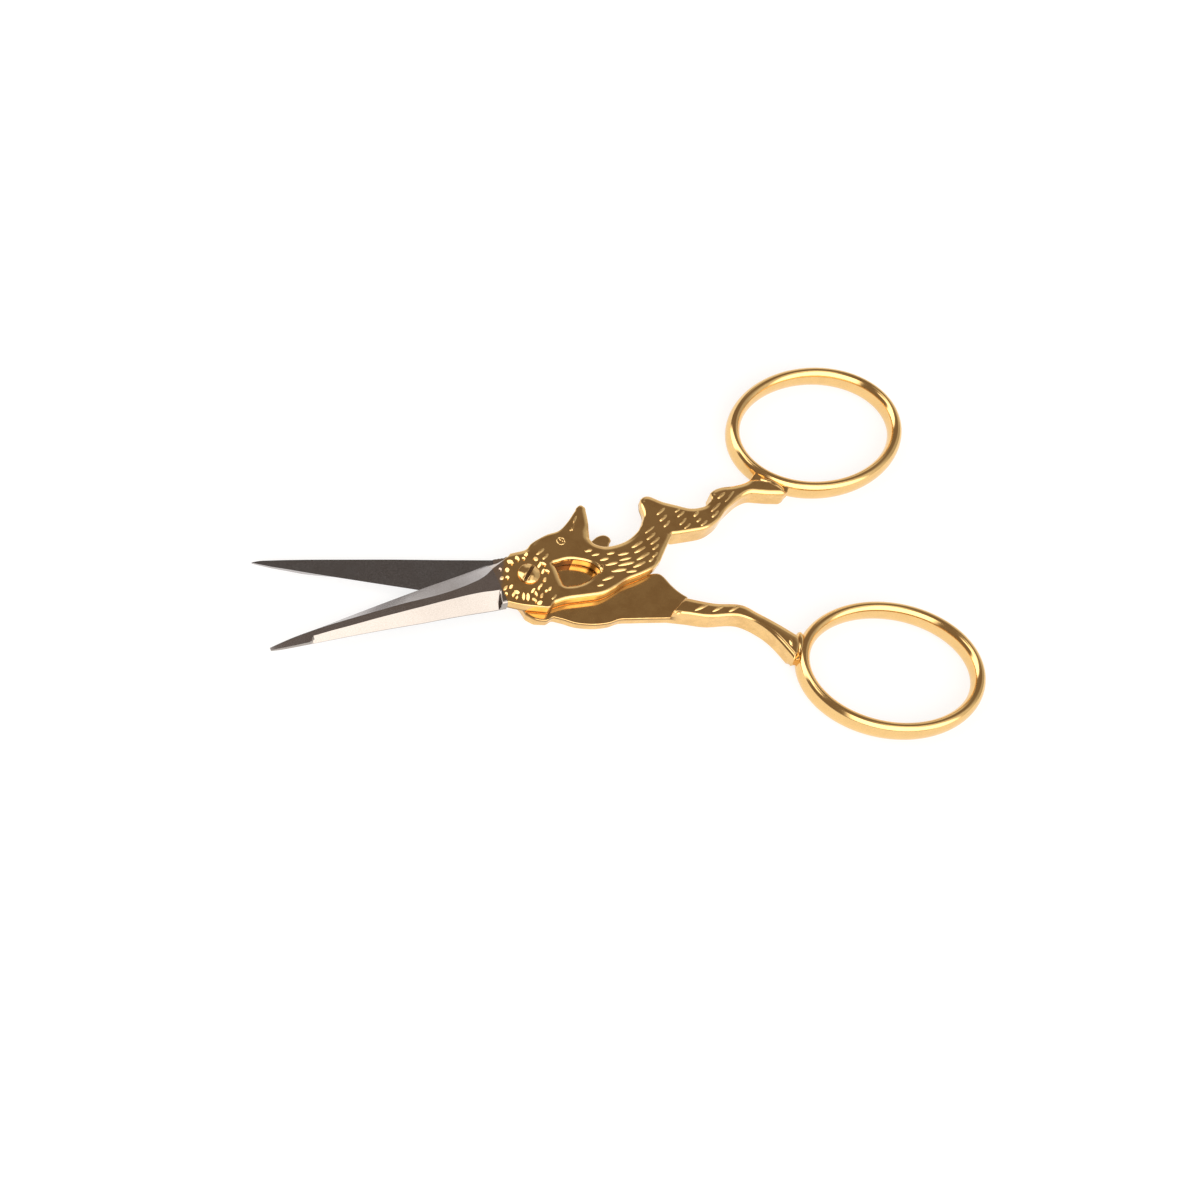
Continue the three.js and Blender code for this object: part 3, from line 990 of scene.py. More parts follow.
    def share(self, x: np.ndarray) -> np.ndarray:
        """How far a place lies from the tip, as a share of the blade."""
        return (x + self.tip_reach) / (PLATING_LINE + self.tip_reach)

    def cut(self, share: np.ndarray) -> np.ndarray:
        """Y of the cutting edge."""
        return smooth_curve(share, self.cut_line)

    def spine(self, share: np.ndarray) -> np.ndarray:
        """Y of the spine."""
        return smooth_curve(share, self.spine_line)

    def bevel(self, share: np.ndarray) -> np.ndarray:
        """Y of the line where the bevel starts, kept inside the cutting edge."""
        return np.minimum(smooth_curve(share, self.bevel_line), self.bevel_limit * self.cut(share))

    def crest(self, share: np.ndarray) -> np.ndarray:
        """Y of the line where the wide facet starts, kept inside the spine."""
        return np.maximum(smooth_curve(share, self.crest_line), self.spine(share) + self.crest_room)

    def ridge(self, share: np.ndarray) -> np.ndarray:
        """Height of the flat along the ridge: full at the root, thinner to the tip, bowed in between."""
        return self.tip_height + (self.root_height - self.tip_height) * share ** self.ridge_power

    def facet_height(self, x: np.ndarray, y: np.ndarray, arc: np.ndarray) -> np.ndarray:
        """Height of the wide facet.

        Formula: a straight slope from the ridge's height at the crest to the spine's height. It eases up to
        the full height, with a rounded edge, past the curve where the grind ends.

        Args:
            x: places along X.
            y: places along Y.
            arc: X of the curve for each column.
        Returns:
            The heights.
        """
        share = self.share(x)
        top, crest, spine = self.ridge(share), self.crest(share), self.spine(share)
        low = np.minimum(self.spine_height + self.spine_rise * share, top)
        slope = top + (low - top) * (y - crest) / (spine - crest)
        depth = np.clip(self.edge_round - (y - spine), 0, self.edge_round)
        full = top - self.edge_round + np.sqrt(np.maximum(self.edge_round ** 2 - depth ** 2, 0))
        return slope + (full - slope) * ease(x - arc, 0, self.plunge_width)

    def build(self, finishes: Finishes) -> bpy.types.Object:
        """Build and dress the blade."""
        name = self.half.name.lower() + "_blade"
        metals = finishes.steel(self.half)
        piece = self.skin().to_object(name + "_steel", self.half, metals, crisp_degrees=12)
        return settle(piece, self.half, "blade_steel", name)


@dataclass
class Bow:
    """A finger bow: an oval ring of an oval bar, swollen where the shank joins it.

    Attributes:
        half: the half that it belongs to.
        reach: X of the ring's middle.
        side: Y of the ring's middle.
        long_axis: half length of the ring, to the middle of the bar.
        short_axis: half width of the ring.
        bar_width: width of the bar.
        bar_height: height of the bar.
        root: X and Y of the swelling, and its turn in degrees.
        root_size: half length, half width and half height of the swelling.
        steps: points round the ring.
        sides: points round the bar.
    """

    half: Half
    reach: float = 44.9
    side: float = 9.345
    long_axis: float = 11.228
    short_axis: float = 8.403
    bar_width: float = 1.75
    bar_height: float = 3.0
    root: tuple[float, float, float] = (35.5, 3.3, -48.5)
    root_size: tuple[float, float, float] = (2.2, 0.8, 1.42)
    steps: int = 288
    sides: int = 48

    def skin(self) -> Skin:
        """Work out the ring.

        Formula: an ellipse for the middle of the bar, and at each of its points an ellipse in the plane of
        the outward normal and the height. The swelling is a second closed surface that runs into it.

        Returns:
            The surface.
        """
        t = np.linspace(0, 2 * math.pi, self.steps + 1)[:-1, None]
        s = np.linspace(0, 2 * math.pi, self.sides + 1)[None, :-1]
        out = np.stack((np.cos(t) / self.long_axis, np.sin(t) / self.short_axis), axis=-1)
        out /= np.linalg.norm(out, axis=-1, keepdims=True)
        width = 0.5 * self.bar_width * np.cos(s)
        x = self.reach + self.long_axis * np.cos(t) + out[..., 0] * width
        y = self.side + self.short_axis * np.sin(t) + out[..., 1] * width
        z = 0.5 * self.bar_height * np.sin(s) + 0 * t
        skin = Skin()
        skin.add(np.stack((x, y, z), axis=-1).reshape(-1, 3), grid_quads(self.steps, self.sides, True, True))
        middle = np.array([*self.root[:2], 0.0])
        room, step = max(self.root_size) + 0.3, 0.1
        skin.add(*surface_net(self.swelling, middle - room, middle + room, step))
        return skin

    def swelling(self, x: np.ndarray, y: np.ndarray, z: np.ndarray) -> np.ndarray:
        """Signed distance to the swelling that joins the ring to the shank: a ball drawn out to three sizes.

        Args:
            x: places along X.
            y: places along Y.
            z: heights.
        Returns:
            Signed distances, true near the surface.
        """
        place_x, place_y, degrees = self.root
        turn = math.radians(degrees)
        along = (x - place_x) * math.cos(turn) + (y - place_y) * math.sin(turn)
        across = (y - place_y) * math.cos(turn) - (x - place_x) * math.sin(turn)
        long, wide, high = self.root_size
        return (np.sqrt((along / long) ** 2 + (across / wide) ** 2 + (z / high) ** 2) - 1) * wide

    def build(self, finishes: Finishes) -> bpy.types.Object:
        """Build and dress the bow."""
        name = self.half.name.lower() + "_bow"
        metals = [finishes.gold(self.half)]
        piece = self.skin().to_object(name + "_gold", self.half, metals, crisp_degrees=60)
        return settle(piece, self.half, "gold_plate", name)


@dataclass
class Handle:
    """The plated figure of one half and the shank that runs to its bow.

    Attributes:
        half: the half that it belongs to.
        shoulder: two points of the line past which the handle has its full thickness.
        strokes: raised strokes on the face that looks up at rest.
        petals: the rosette's petals.
        window_rim: outline of the window, or empty.
        end_cut: outline inside which the shank slopes down into the bow.
        root_cut: two points of the line that cuts off the plate's -Y side at the blade's root.
        root_release: slope by which that cut ends past its second point.
        heel_round: worn edge beside the rosette.
        top_round: worn edge of the figure.
        bow_round: worn edge near the bow.
        heel_span: X from where to where the heel's edge changes to the figure's.
        bow_span: X from where to where the figure's edge changes to the bow's.
        far_run: how far in the worn edge starts on the far side.
        far_rise: how much it drops.
        far_grow: how far it stands out.
        ear_slim: share taken off that run and rise at the ear.
        ear_sides: Y from where to where it is taken off.
        ear_ends: X from where to where.
        window_round: worn edge of the window.
        window_run: how far out it starts on the far side.
        recess_depth: how far inside the rim the window's wall with painted shade starts.
        recess_heights: lowest and highest place of that painted shade.
        recess_end: X where it ends.
        neck: half height of the shank's end.
        end_slope: of the faces towards that end.
        lap_round: worn edge of the face where the halves meet.
        shoulder_round: worn edge of the shoulder.
        overlap: how far the full thickness reaches into the outer plate.
        hole_radius: of the hole for the screw.
        cut_side: Y of the cutting edge's run-out.
        cut_height: thickness left there.
        least_run: least width of the ground run-out.
        step: side of a cell of the surface net.
        margin: of the net past the solid.
        bevel_line: Y of the line where the ground run-out starts, over X.
        corner_degrees: a turn of the outline above this stays a corner.
    """

    half: Half
    shoulder: Points
    strokes: Points
    petals: Points
    window_rim: Points
    end_cut: Points
    root_cut: Points
    root_release: float = 2.0
    heel_round: float = 0.15
    top_round: float = 0.44
    bow_round: float = 0.7
    heel_span: tuple[float, float] = (0.7, 1.6)
    bow_span: tuple[float, float] = (28.0, 31.0)
    far_run: float = 1.15
    far_rise: float = 0.48
    far_grow: float = 0.2
    ear_slim: float = 0.4
    ear_sides: tuple[float, float] = (3.6, 4.6)
    ear_ends: tuple[float, float] = (14.0, 12.0)
    window_round: float = 0.42
    window_run: float = 0.95
    recess_depth: float = 0.25
    recess_heights: tuple[float, float] = (0.02, 1.15)
    recess_end: float = 6.2
    neck: float = 0.95
    end_slope: float = 1.3
    lap_round: float = 0.12
    shoulder_round: float = 0.25
    overlap: float = 0.5
    hole_radius: float = 0.95
    cut_side: float = 3.3
    cut_height: float = 0.06
    least_run: float = 0.3
    step: float = 0.1
    margin: float = 0.25
    bevel_line: Points = field(default_factory=lambda: np.array(
        [(-4.4, 1.68), (-4.0, 1.92), (-3.27, 2.22), (-2.17, 2.68), (-0.88, 3.44), (0.5, 6.0), (1.88, 8.56)]))
    corner_degrees: float = 85.0

    def __post_init__(self) -> None:
        """Read the outline of the CAD node and map the distances to it, to the window and to the sloped end.

        The outline is drawn out past the plating line, so that no edge is worn there.
        """
        past_line, beyond = 0.1, 1.0
        loop = face_outline(self.half.name.lower() + "_handle", self.half, HALF_THICKNESS)
        outer = smooth_loop(loop, substeps=4, corner_degrees=self.corner_degrees)
        at_line = outer[:, 0] < PLATING_LINE + past_line
        outer[:, 0] = np.where(at_line, PLATING_LINE - beyond, outer[:, 0])
        self.outline = DistanceMap(outer)
        self.low, self.high = outer.min(axis=0), outer.max(axis=0)
        self.window = None
        if len(self.window_rim):
            self.window = DistanceMap(smooth_loop(self.window_rim, substeps=6, corner_degrees=180))
        self.end_trim = DistanceMap(self.end_cut)

    def crown(self, outline: DistanceMap, sign: float, x: np.ndarray, y: np.ndarray,
              near_round: float | np.ndarray, far: tuple[float | np.ndarray, float | np.ndarray, float],
              ) -> tuple[np.ndarray, np.ndarray, np.ndarray]:
        """How the edge of the outer face is worn: round on the polished side, broad and low on the other.

        Formula: the outward direction is the slope of the distance. Where it turns to `polished_side` the
        edge has one radius, and where it turns away it runs further in than it drops.

        Args:
            outline: distance map of the outline.
            sign: 1 where the solid is inside the outline, -1 where it is outside.
            x: places along X.
            y: places along Y.
            near_round: radius on the polished side.
            far: run, rise and growth of the edge on the other side.
        Returns:
            Signed distance to the worn outline, and the edge's run and rise.
        """
        reach, turn = 0.15, 0.3
        slope_x = sign * (outline(x + reach, y) - outline(x - reach, y))
        slope_y = sign * (outline(x, y + reach) - outline(x, y - reach))
        side = self.half.polished_side
        turned = (slope_x * side[0] + slope_y * side[1]) / np.maximum(np.hypot(slope_x, slope_y), 1e-6)
        near = ease(turned, -turn, turn)
        run = far[0] + (near_round - far[0]) * near
        rise = far[1] + (near_round - far[1]) * near
        return sign * outline(x, y) - far[2] * (1 - near), run, rise

    def distance(self, x: np.ndarray, y: np.ndarray, z: np.ndarray) -> np.ndarray:
        """Signed distance to the handle.

        Formula: the outline's plate from the lap face to the outer face, with its outer edge worn and the
        run-out of the cutting bevel ground off; joined past the shoulder line by the same outline down to the
        other side; less the window, with its rim worn, the slopes down to the neck at the bow, the cut at the
        blade's root, the screw's hole and all before the plating line.

        Args:
            x: places along X.
            y: places along Y.
            z: heights.
        Returns:
            Signed distances.
        """
        radius = self.heel_round + (self.top_round - self.heel_round) * ease(x, *self.heel_span)
        radius = radius + (self.bow_round - radius) * ease(x, *self.bow_span)
        slim = 1 - self.ear_slim * ease(y, *self.ear_sides) * ease(x, *self.ear_ends)
        edge, run, rise = self.crown(self.outline, 1, x, y, radius,
                                     (self.far_run * slim, self.far_rise * slim, self.far_grow))
        worn = edge * rise / run
        plate = round_max(worn, z - HALF_THICKNESS, rise)
        grind = smooth_curve(x, self.bevel_line)
        steep = (HALF_THICKNESS - self.cut_height) / np.maximum(self.cut_side - grind, self.least_run)
        ground = (z - HALF_THICKNESS + steep * (y - grind)) / np.hypot(1, steep)
        plate = np.maximum(plate, ground)
        plate = round_max(plate, 0.5 * RUNNING_GAP - z, self.lap_round)
        start, end = self.shoulder
        along = (end - start) / np.linalg.norm(end - start)
        past = (x - start[0]) * along[1] - (y - start[1]) * along[0]
        past = -past if along[1] > 0 else past
        block = round_max(worn, -HALF_THICKNESS - z, rise)
        block = round_max(block, past, self.shoulder_round)
        solid = np.minimum(plate, np.maximum(block, z - self.overlap))
        if self.window is not None:
            opening, run, drop = self.crown(self.window, -1, x, y, self.window_round,
                                            (self.window_run, self.window_round, 0.0))
            opening = (opening - run) * drop / run
            solid = np.maximum(solid, round_max(opening, z - HALF_THICKNESS, drop))
        height = np.maximum(HALF_THICKNESS + self.end_slope * self.end_trim(x, y), self.neck)
        solid = np.maximum(solid, (np.abs(z) - height) / math.hypot(1, self.end_slope))
        first, last = self.root_cut
        under = first[1] - y + (x - first[0]) * (last[1] - first[1]) / (last[0] - first[0])
        solid = np.maximum(solid, under - self.root_release * np.maximum(x - last[0], 0))
        hole = self.hole_radius - np.hypot(x, y)
        return np.maximum(np.maximum(solid, hole), PLATING_LINE - x)

    def build(self, finishes: Finishes) -> bpy.types.Object:
        """Build and dress the handle, with its raised strokes."""
        low = np.array([PLATING_LINE, self.low[1], -HALF_THICKNESS]) - self.margin
        high = np.array([self.high[0], self.high[1], HALF_THICKNESS]) + self.margin
        points, quads = surface_net(self.distance, low, high, self.step)
        # Painted shade: faces of the window's wall deep inside the rim take the dark recess finish.
        painted_wall_shade = np.zeros(len(quads), int)
        if self.window is not None:
            x, y, z = points[quads].mean(axis=1).T
            bottom, top = self.recess_heights
            inside = self.window(x, y) < -self.recess_depth
            painted_wall_shade = (inside & (z > bottom) & (z < top) & (x < self.recess_end)).astype(int)
        skin = Skin()
        skin.add(points, quads, painted_wall_shade)
        up = self.half.value[1]
        add_strokes(skin, self.strokes, up * HALF_THICKNESS, up, np.array(self.half.polished_side))
        add_petals(skin, self.petals, HALF_THICKNESS)
        name = self.half.name.lower() + "_handle"
        metals = finishes.edged_gold(self.half)
        piece = skin.to_object(name + "_gold", self.half, metals, crisp_degrees=60)
        return settle(piece, self.half, "gold_plate", name)


@dataclass
class PivotScrew:
    """The slotted screw: a domed head over the front half and a tail flush with the underside.

    Attributes:
        radius: of the shank.
        head_radius: of the head.
        seat: height of the head's underside above the plane where the halves meet.
        head_edge: height of the head's side.
        dome: rise of the head above its side.
        slot_width: of the slot.
        slot_depth: below the top of the dome.
        slot_degrees: turn of the slot from +X.
        edge_round: radius of all edges.
        shade_below: how far under the top the slot's painted shade starts, in the middle.
        shade_fall: how much lower it starts outwards, by the square of the distance.
        shade_room: how far past the slot's walls it may lie.
        shade_lift: how far above the seat it ends.
        step: side of a cell of the surface net.
        margin: of the net past the solid.
    """

    radius: float = 0.9
    head_radius: float = 1.35
    seat: float = 1.55
    head_edge: float = 0.12
    dome: float = 0.43
    slot_width: float = 0.4
    slot_depth: float = 0.42
    slot_degrees: float = 52.0
    edge_round: float = 0.06
    shade_below: float = 0.16
    shade_fall: float = 0.25
    shade_room: float = 0.01
    shade_lift: float = 0.05
    step: float = 0.045
    margin: float = 0.15

    @property
    def top(self) -> float:
        """Height of the top of the dome."""
        return self.seat + self.head_edge + self.dome

    def beside_slot(self, x: np.ndarray, y: np.ndarray) -> np.ndarray:
        """Distance from the slot's wall, negative in the slot."""
        angle = math.radians(self.slot_degrees)
        return np.abs(y * math.cos(angle) - x * math.sin(angle)) - 0.5 * self.slot_width

    def distance(self, x: np.ndarray, y: np.ndarray, z: np.ndarray) -> np.ndarray:
        """Signed distance to the screw.

        Formula: a plain shank; a disc under the cap of a ball; less a slot through the middle. All edges are
        rounded.

        Args:
            x: places along X.
            y: places along Y.
            z: heights above the plane where the halves meet.
        Returns:
            Signed distances.
        """
        out = np.hypot(x, y)
        shank = round_max(out - self.radius, -HALF_THICKNESS - z, self.edge_round)
        into_head = 0.1
        shank = np.maximum(shank, z - self.seat - into_head)
        ball = (self.head_radius ** 2 + self.dome ** 2) / (2 * self.dome)
        dome = np.hypot(out, z - (self.top - ball)) - ball
        head = round_max(out - self.head_radius, dome, self.edge_round)
        head = round_max(head, self.seat - z, self.edge_round)
        slot = np.minimum(-self.beside_slot(x, y), z - (self.top - self.slot_depth))
        head = round_max(head, slot, self.edge_round)
        return np.minimum(shank, head)

    def build(self, finishes: Finishes) -> bpy.types.Object:
        """Build and dress the screw, which is shaped as it lies at rest and rides on the back half."""
        reach = self.head_radius
        points, quads = surface_net(self.distance, np.array([-reach, -reach, -HALF_THICKNESS]) - self.margin,
                                    np.array([reach, reach, self.top]) + self.margin, self.step)
        x, y, z = points[quads].mean(axis=1).T
        # Painted shade: faces in the slot below this depth take the dark slot finish.
        below = z < self.top - self.shade_below - self.shade_fall * (x ** 2 + y ** 2)
        above = z > self.seat + self.shade_lift
        shaded = (self.beside_slot(x, y) < self.shade_room) & below & above
        skin = Skin()
        skin.add(Half.BACK.from_rest((points + [0, 0, HALF_THICKNESS]) * MM), quads, shaded.astype(int))
        metals = [finishes.gold(Half.BACK), finishes.slot_shade(Half.BACK)]
        piece = skin.to_object("pivot_screw_gold", Half.BACK, metals, crisp_degrees=60)
        return settle(piece, Half.BACK, "gold_plate", "pivot_screw")


# Studio


@dataclass
class Camera:
    """The camera of the photograph, as fitted to the bows, the blades and the screw.

    Attributes:
        elevation: degrees above the table.
        azimuth: degrees from the scissors' -Y axis, seen from above.
        roll: degrees.
        distance: from the pivot, in millimetres.
        focal: in pixels of the photograph.
        frame_width: of the photograph, in pixels.
        pivot: where the pivot's middle is in the photograph, in pixels.
    """

    elevation: float = 56.575
    azimuth: float = -34.814
    roll: float = -24.419
    distance: float = 354.417
    focal: float = 2956.4
    frame_width: float = 1200.0
    pivot: tuple[float, float] = (526.33, 580.23)

    def build(self) -> bpy.types.Object:
        """Place the camera so that the pivot is where the photograph has it.

        Formula: the turned and rolled axes of the camera; its place is the distance back along its axis, less
        the offset that brings the pivot off the middle of the frame.

        Returns:
            The camera.
        """
        el, roll = math.radians(self.elevation), math.radians(self.roll)
        spin = Matrix.Rotation(math.radians(self.azimuth), 3, "Z")
        right = spin @ Vector((1, 0, 0))
        up = spin @ Vector((0, math.sin(el), math.cos(el)))
        back = spin @ Vector((0, -math.cos(el), math.sin(el)))
        across = math.cos(roll) * right - math.sin(roll) * up
        upward = math.sin(roll) * right + math.cos(roll) * up
        middle = 0.5 * self.frame_width
        side = (self.pivot[0] - middle) / self.focal * self.distance
        rise = (middle - self.pivot[1]) / self.focal * self.distance
        place = self.distance * back - side * across - rise * upward + Vector((0, 0, HALF_THICKNESS))
        data = bpy.data.cameras.new("photo_camera")
        data.sensor_width = 36.0
        data.lens = data.sensor_width * self.focal / self.frame_width
        data.clip_start, data.clip_end = 0.01, 20.0
        camera = bpy.data.objects.new("photo_camera", data)
        axes = Matrix((across, upward, back)).transposed().to_4x4()
        camera.matrix_world = Matrix.Translation(place * MM) @ axes
        bpy.context.scene.collection.objects.link(camera)
        bpy.context.scene.camera = camera
        return camera


@dataclass(frozen=True)
class SoftBox:
    """A soft light in the world. All of it but the level is in degrees.

    Attributes:
        azimuth: of its middle, from +X.
        half_width: from its middle to its side.
        low: height of its lower side.
        high: height of its upper side.
        level: of its light.
        soft: half width of its soft sides.
    """

    azimuth: float
    half_width: float
    low: float
    high: float
    level: float
    soft: float = 7.0


@dataclass
class Studio:
    """The white floor and the soft studio round it.

    Attributes:
        boxes: the lights; a later one lies over the ones before.
        ground: level of the world outside them.
        ground_tint: its colour.
        tint: colour of the lights.
        floor_color: share of light that the floor scatters.
        floor_glow: level of the floor for the camera and in metal.
        floor_reach: half width of the floor, in metres.
        floor_drop: how far under the scissors it lies, in millimetres.
    """

    boxes: tuple[SoftBox, ...] = (
        SoftBox(azimuth=13, half_width=32, low=-12, high=50, level=0.5),
        SoftBox(azimuth=-32, half_width=20, low=-10, high=58, level=0.75),
        SoftBox(azimuth=-32, half_width=36, low=58, high=76, level=1.1),
        SoftBox(azimuth=55, half_width=30, low=-12, high=32, level=0.75),
        SoftBox(azimuth=88, half_width=18, low=-20, high=8, level=0.6),
        SoftBox(azimuth=118, half_width=30, low=68, high=84, level=1.6),
        SoftBox(azimuth=176, half_width=19, low=42, high=59, level=2.3),
        SoftBox(azimuth=149, half_width=18, low=-6, high=66, level=2.6),
        SoftBox(azimuth=-86, half_width=36, low=6, high=62, level=2.6),
        SoftBox(azimuth=-47, half_width=9, low=4, high=50, level=2.6),
    )
    ground: float = 0.2
    ground_tint: tuple[float, float, float] = (1.13, 0.9, 0.72)
    tint: tuple[float, float, float] = (1.04, 0.995, 0.94)
    floor_color: float = 0.32
    floor_glow: float = 0.76
    floor_reach: float = 4.0
    floor_drop: float = 0.02

    def build(self) -> None:
        """Build the floor and the world."""
        self.build_floor()
        self.build_world()

    def build_floor(self) -> None:
        """A plain plane just under the scissors: a diffuse surface that glows for the camera and in metal."""
        mesh = bpy.data.meshes.new("floor")
        r, z = self.floor_reach, -self.floor_drop * MM
        mesh.from_pydata([(-r, -r, z), (r, -r, z), (r, r, z), (-r, r, z)], [], [(0, 1, 2, 3)])
        floor = bpy.data.objects.new("floor", mesh)
        bpy.context.scene.collection.objects.link(floor)
        material = bpy.data.materials.new("white_floor")
        material.use_nodes = True
        nodes = Nodes(material.node_tree)
        material.node_tree.nodes.remove(material.node_tree.nodes["Principled BSDF"])
        paper = nodes.add("ShaderNodeBsdfDiffuse", Color=(self.floor_color,) * 3 + (1.0,))
        glow = nodes.add("ShaderNodeEmission")
        ray = nodes.add("ShaderNodeLightPath")
        seen = nodes.math("MAXIMUM", ray.outputs["Is Camera Ray"], ray.outputs["Is Glossy Ray"])
        seen = nodes.math("MAXIMUM", seen, ray.outputs["Is Transmission Ray"])
        nodes.link(nodes.math("MULTIPLY", seen, self.floor_glow), glow.inputs["Strength"])
        both = nodes.add("ShaderNodeAddShader")
        nodes.link(paper.outputs[0], both.inputs[0])
        nodes.link(glow.outputs[0], both.inputs[1])
        nodes.link(both.outputs[0], material.node_tree.nodes["Material Output"].inputs["Surface"])
        mesh.materials.append(material)

    def build_world(self) -> None:
        """The soft boxes as smooth windows in azimuth and height, over a dim ground; white for the camera."""
        world = bpy.data.worlds.new("studio")
        bpy.context.scene.world = world
        world.use_nodes = True
        nodes = Nodes(world.node_tree)
        direction = nodes.add("ShaderNodeTexCoord")
        split = nodes.add("ShaderNodeSeparateXYZ")
        nodes.link(direction.outputs["Generated"], split.inputs[0])
        x, y, z = split.outputs
        flat = nodes.math("SQRT", nodes.math("ADD", nodes.math("MULTIPLY", x, x),
                                             nodes.math("MULTIPLY_ADD", y, y, 1e-6)))
        highest = 89
        light: object = tuple(self.ground * part for part in self.ground_tint)
        for box in self.boxes:
            turn, soft = math.radians(box.azimuth), box.soft
            along = nodes.math("MULTIPLY_ADD", x, math.cos(turn), nodes.math("MULTIPLY", y, math.sin(turn)))
            facing = nodes.math("DIVIDE", along, flat)
            wide = [math.cos(math.radians(box.half_width + change)) for change in (soft, -soft)]
            low = [math.sin(math.radians(box.low + change)) for change in (-soft, soft)]
            high = [math.sin(math.radians(min(box.high + change, highest))) for change in (soft, -soft)]
            beside, over, below = nodes.step(facing, *wide), nodes.step(z, *low), nodes.step(z, *high)
            window = nodes.math("MULTIPLY", beside, nodes.math("MULTIPLY", over, below))
            light = nodes.mix(window, light, tuple(box.level * part for part in self.tint))
        ray = nodes.add("ShaderNodeLightPath")
        background = world.node_tree.nodes["Background"]
        background.inputs["Strength"].default_value = 1.0
        seen = nodes.mix(ray.outputs["Is Camera Ray"], light, (1.0, 1.0, 1.0))
        nodes.link(seen, background.inputs["Color"])


# Lines of the blades and the handles, in the halves' own frames. The blades' lines give Y over the share of
# the length from the tip; the others are outlines.

FRONT_CUT = np.array([
    (0, 0.3), (0.03, 0.46), (0.1, 0.74), (0.2, 1.05), (0.35, 1.52), (0.5, 1.97), (0.6, 2.25), (0.71, 2.54),
    (0.82, 2.77), (0.934, 3.05), (1.0, 3.3),
])
FRONT_SPINE = np.array([
    (0, -0.1), (0.037, -0.28), (0.086, -0.42), (0.137, -0.54), (0.187, -0.66), (0.263, -0.83), (0.54, -1.58),
    (0.64, -1.9), (0.75, -2.18), (0.85, -2.5), (0.953, -2.86), (1.0, -2.98),
])
BACK_CUT = np.array([
    (0, 0.06), (0.027, 0.2), (0.051, 0.31), (0.083, 0.45), (0.132, 0.6), (0.198, 0.83), (0.263, 1.05),
    (0.393, 1.45), (0.525, 1.85), (0.657, 2.24), (0.85, 2.82), (1.0, 3.26),
])
BACK_SPINE = np.array([
    (0, 0.03), (0.027, -0.21), (0.083, -0.43), (0.198, -0.77), (0.395, -1.24), (0.594, -1.69), (0.795, -2.07),
    (1.0, -2.5),
])
WINDOW_RIM = np.array([
    (2.95, 0.72), (3.4, 0.98), (4.2, 1.02), (5.1, 1.03), (6.15, 0.84), (7.19, 0.41), (8.16, -0.18),
    (8.85, -0.98), (9.14, -1.8), (9.05, -2.4), (8.6, -2.9), (7.69, -3.48), (6.48, -3.84), (5.2, -3.93),
    (4.1, -3.76), (3.3, -3.46), (2.78, -2.95), (2.66, -1.84), (2.75, -0.58),
])
FRONT_END = np.array([
    (28, 5), (30.5, 4.3), (32, 4.25), (33, 4.2), (34, 3.95), (35, 3.4), (35.7, 2.6), (36.15, 1.8),
    (36.3, 1.2), (38.5, 1.2), (38.5, 9), (28, 9),
])
BACK_END = np.array([
    (33.0, 5.0), (32.95, 6.3), (32.95, 7.5), (32.65, 8.5), (32.05, 9.15), (31.6, 9.8), (31.0, 12), (38, 12),
    (38, 5),
])

# Ornament. Each stroke is a start, an end and a width. The shank's are drawn as they are seen from above.
# The three factors widen such strokes or turn them over with the back half.

WIDER = np.array([1, 1, 1, 1, 1.2])
WIDEST = np.array([1, 1, 1, 1, 1.4])
TURNED_OVER = np.array([1, -1, 1, -1, 1])

ROSETTE = np.array([
    (-1.85, 2.45, -1.35, 1.75, 0.42), (-0.62, 2.7, -0.52, 1.95, 0.32), (0.8, 2.75, 0.6, 2.3, 0.32),
    (1.35, 1.8, 1.85, 1.45, 0.36), (-3.22, 1.75, -3.08, 1.35, 0.24), (-2.65, 1.28, -2.15, 1.12, 0.38),
    (-3.75, 0.35, -3.2, 0.35, 0.3), (-2.87, 0.45, -2.73, 0.0, 0.32), (-3.9, -1.2, -3.25, -0.88, 0.28),
    (-3.12, -1.2, -2.62, -0.98, 0.28), (-3.85, -1.6, -3.75, -1.98, 0.22), (-3.2, -2.4, -2.65, -1.7, 0.3),
    (-2.75, -1.85, -2.2, -2.12, 0.3), (-2.9, -2.8, -2.68, -2.45, 0.24), (-2.12, -3.2, -1.8, -2.3, 0.27),
    (-1.65, -3.45, -1.33, -2.5, 0.36), (-0.8, -2.5, -0.2, -2.2, 0.25), (-0.36, -3.2, -0.3, -2.5, 0.22),
    (-1.0, -3.25, -0.72, -3.95, 0.32), (-0.75, -4.15, -0.05, -4.1, 0.32), (0.02, -3.48, 0.48, -3.08, 0.3),
    (0.22, -2.45, 0.45, -1.98, 0.22), (0.48, -2.05, 0.98, -1.85, 0.24), (0.85, -2.87, 1.22, -2.85, 0.22),
    (1.32, -2.82, 1.85, -2.58, 0.26), (1.28, -1.55, 1.72, -1.18, 0.34), (1.52, -0.45, 1.98, -0.05, 0.26),
    (2.05, -0.08, 2.42, -0.62, 0.28), (1.42, 0.42, 1.93, 1.0, 0.28), (2.0, 1.02, 2.42, 0.42, 0.28),
    (0.1, 2.3, 0.25, 1.9, 0.25),
])
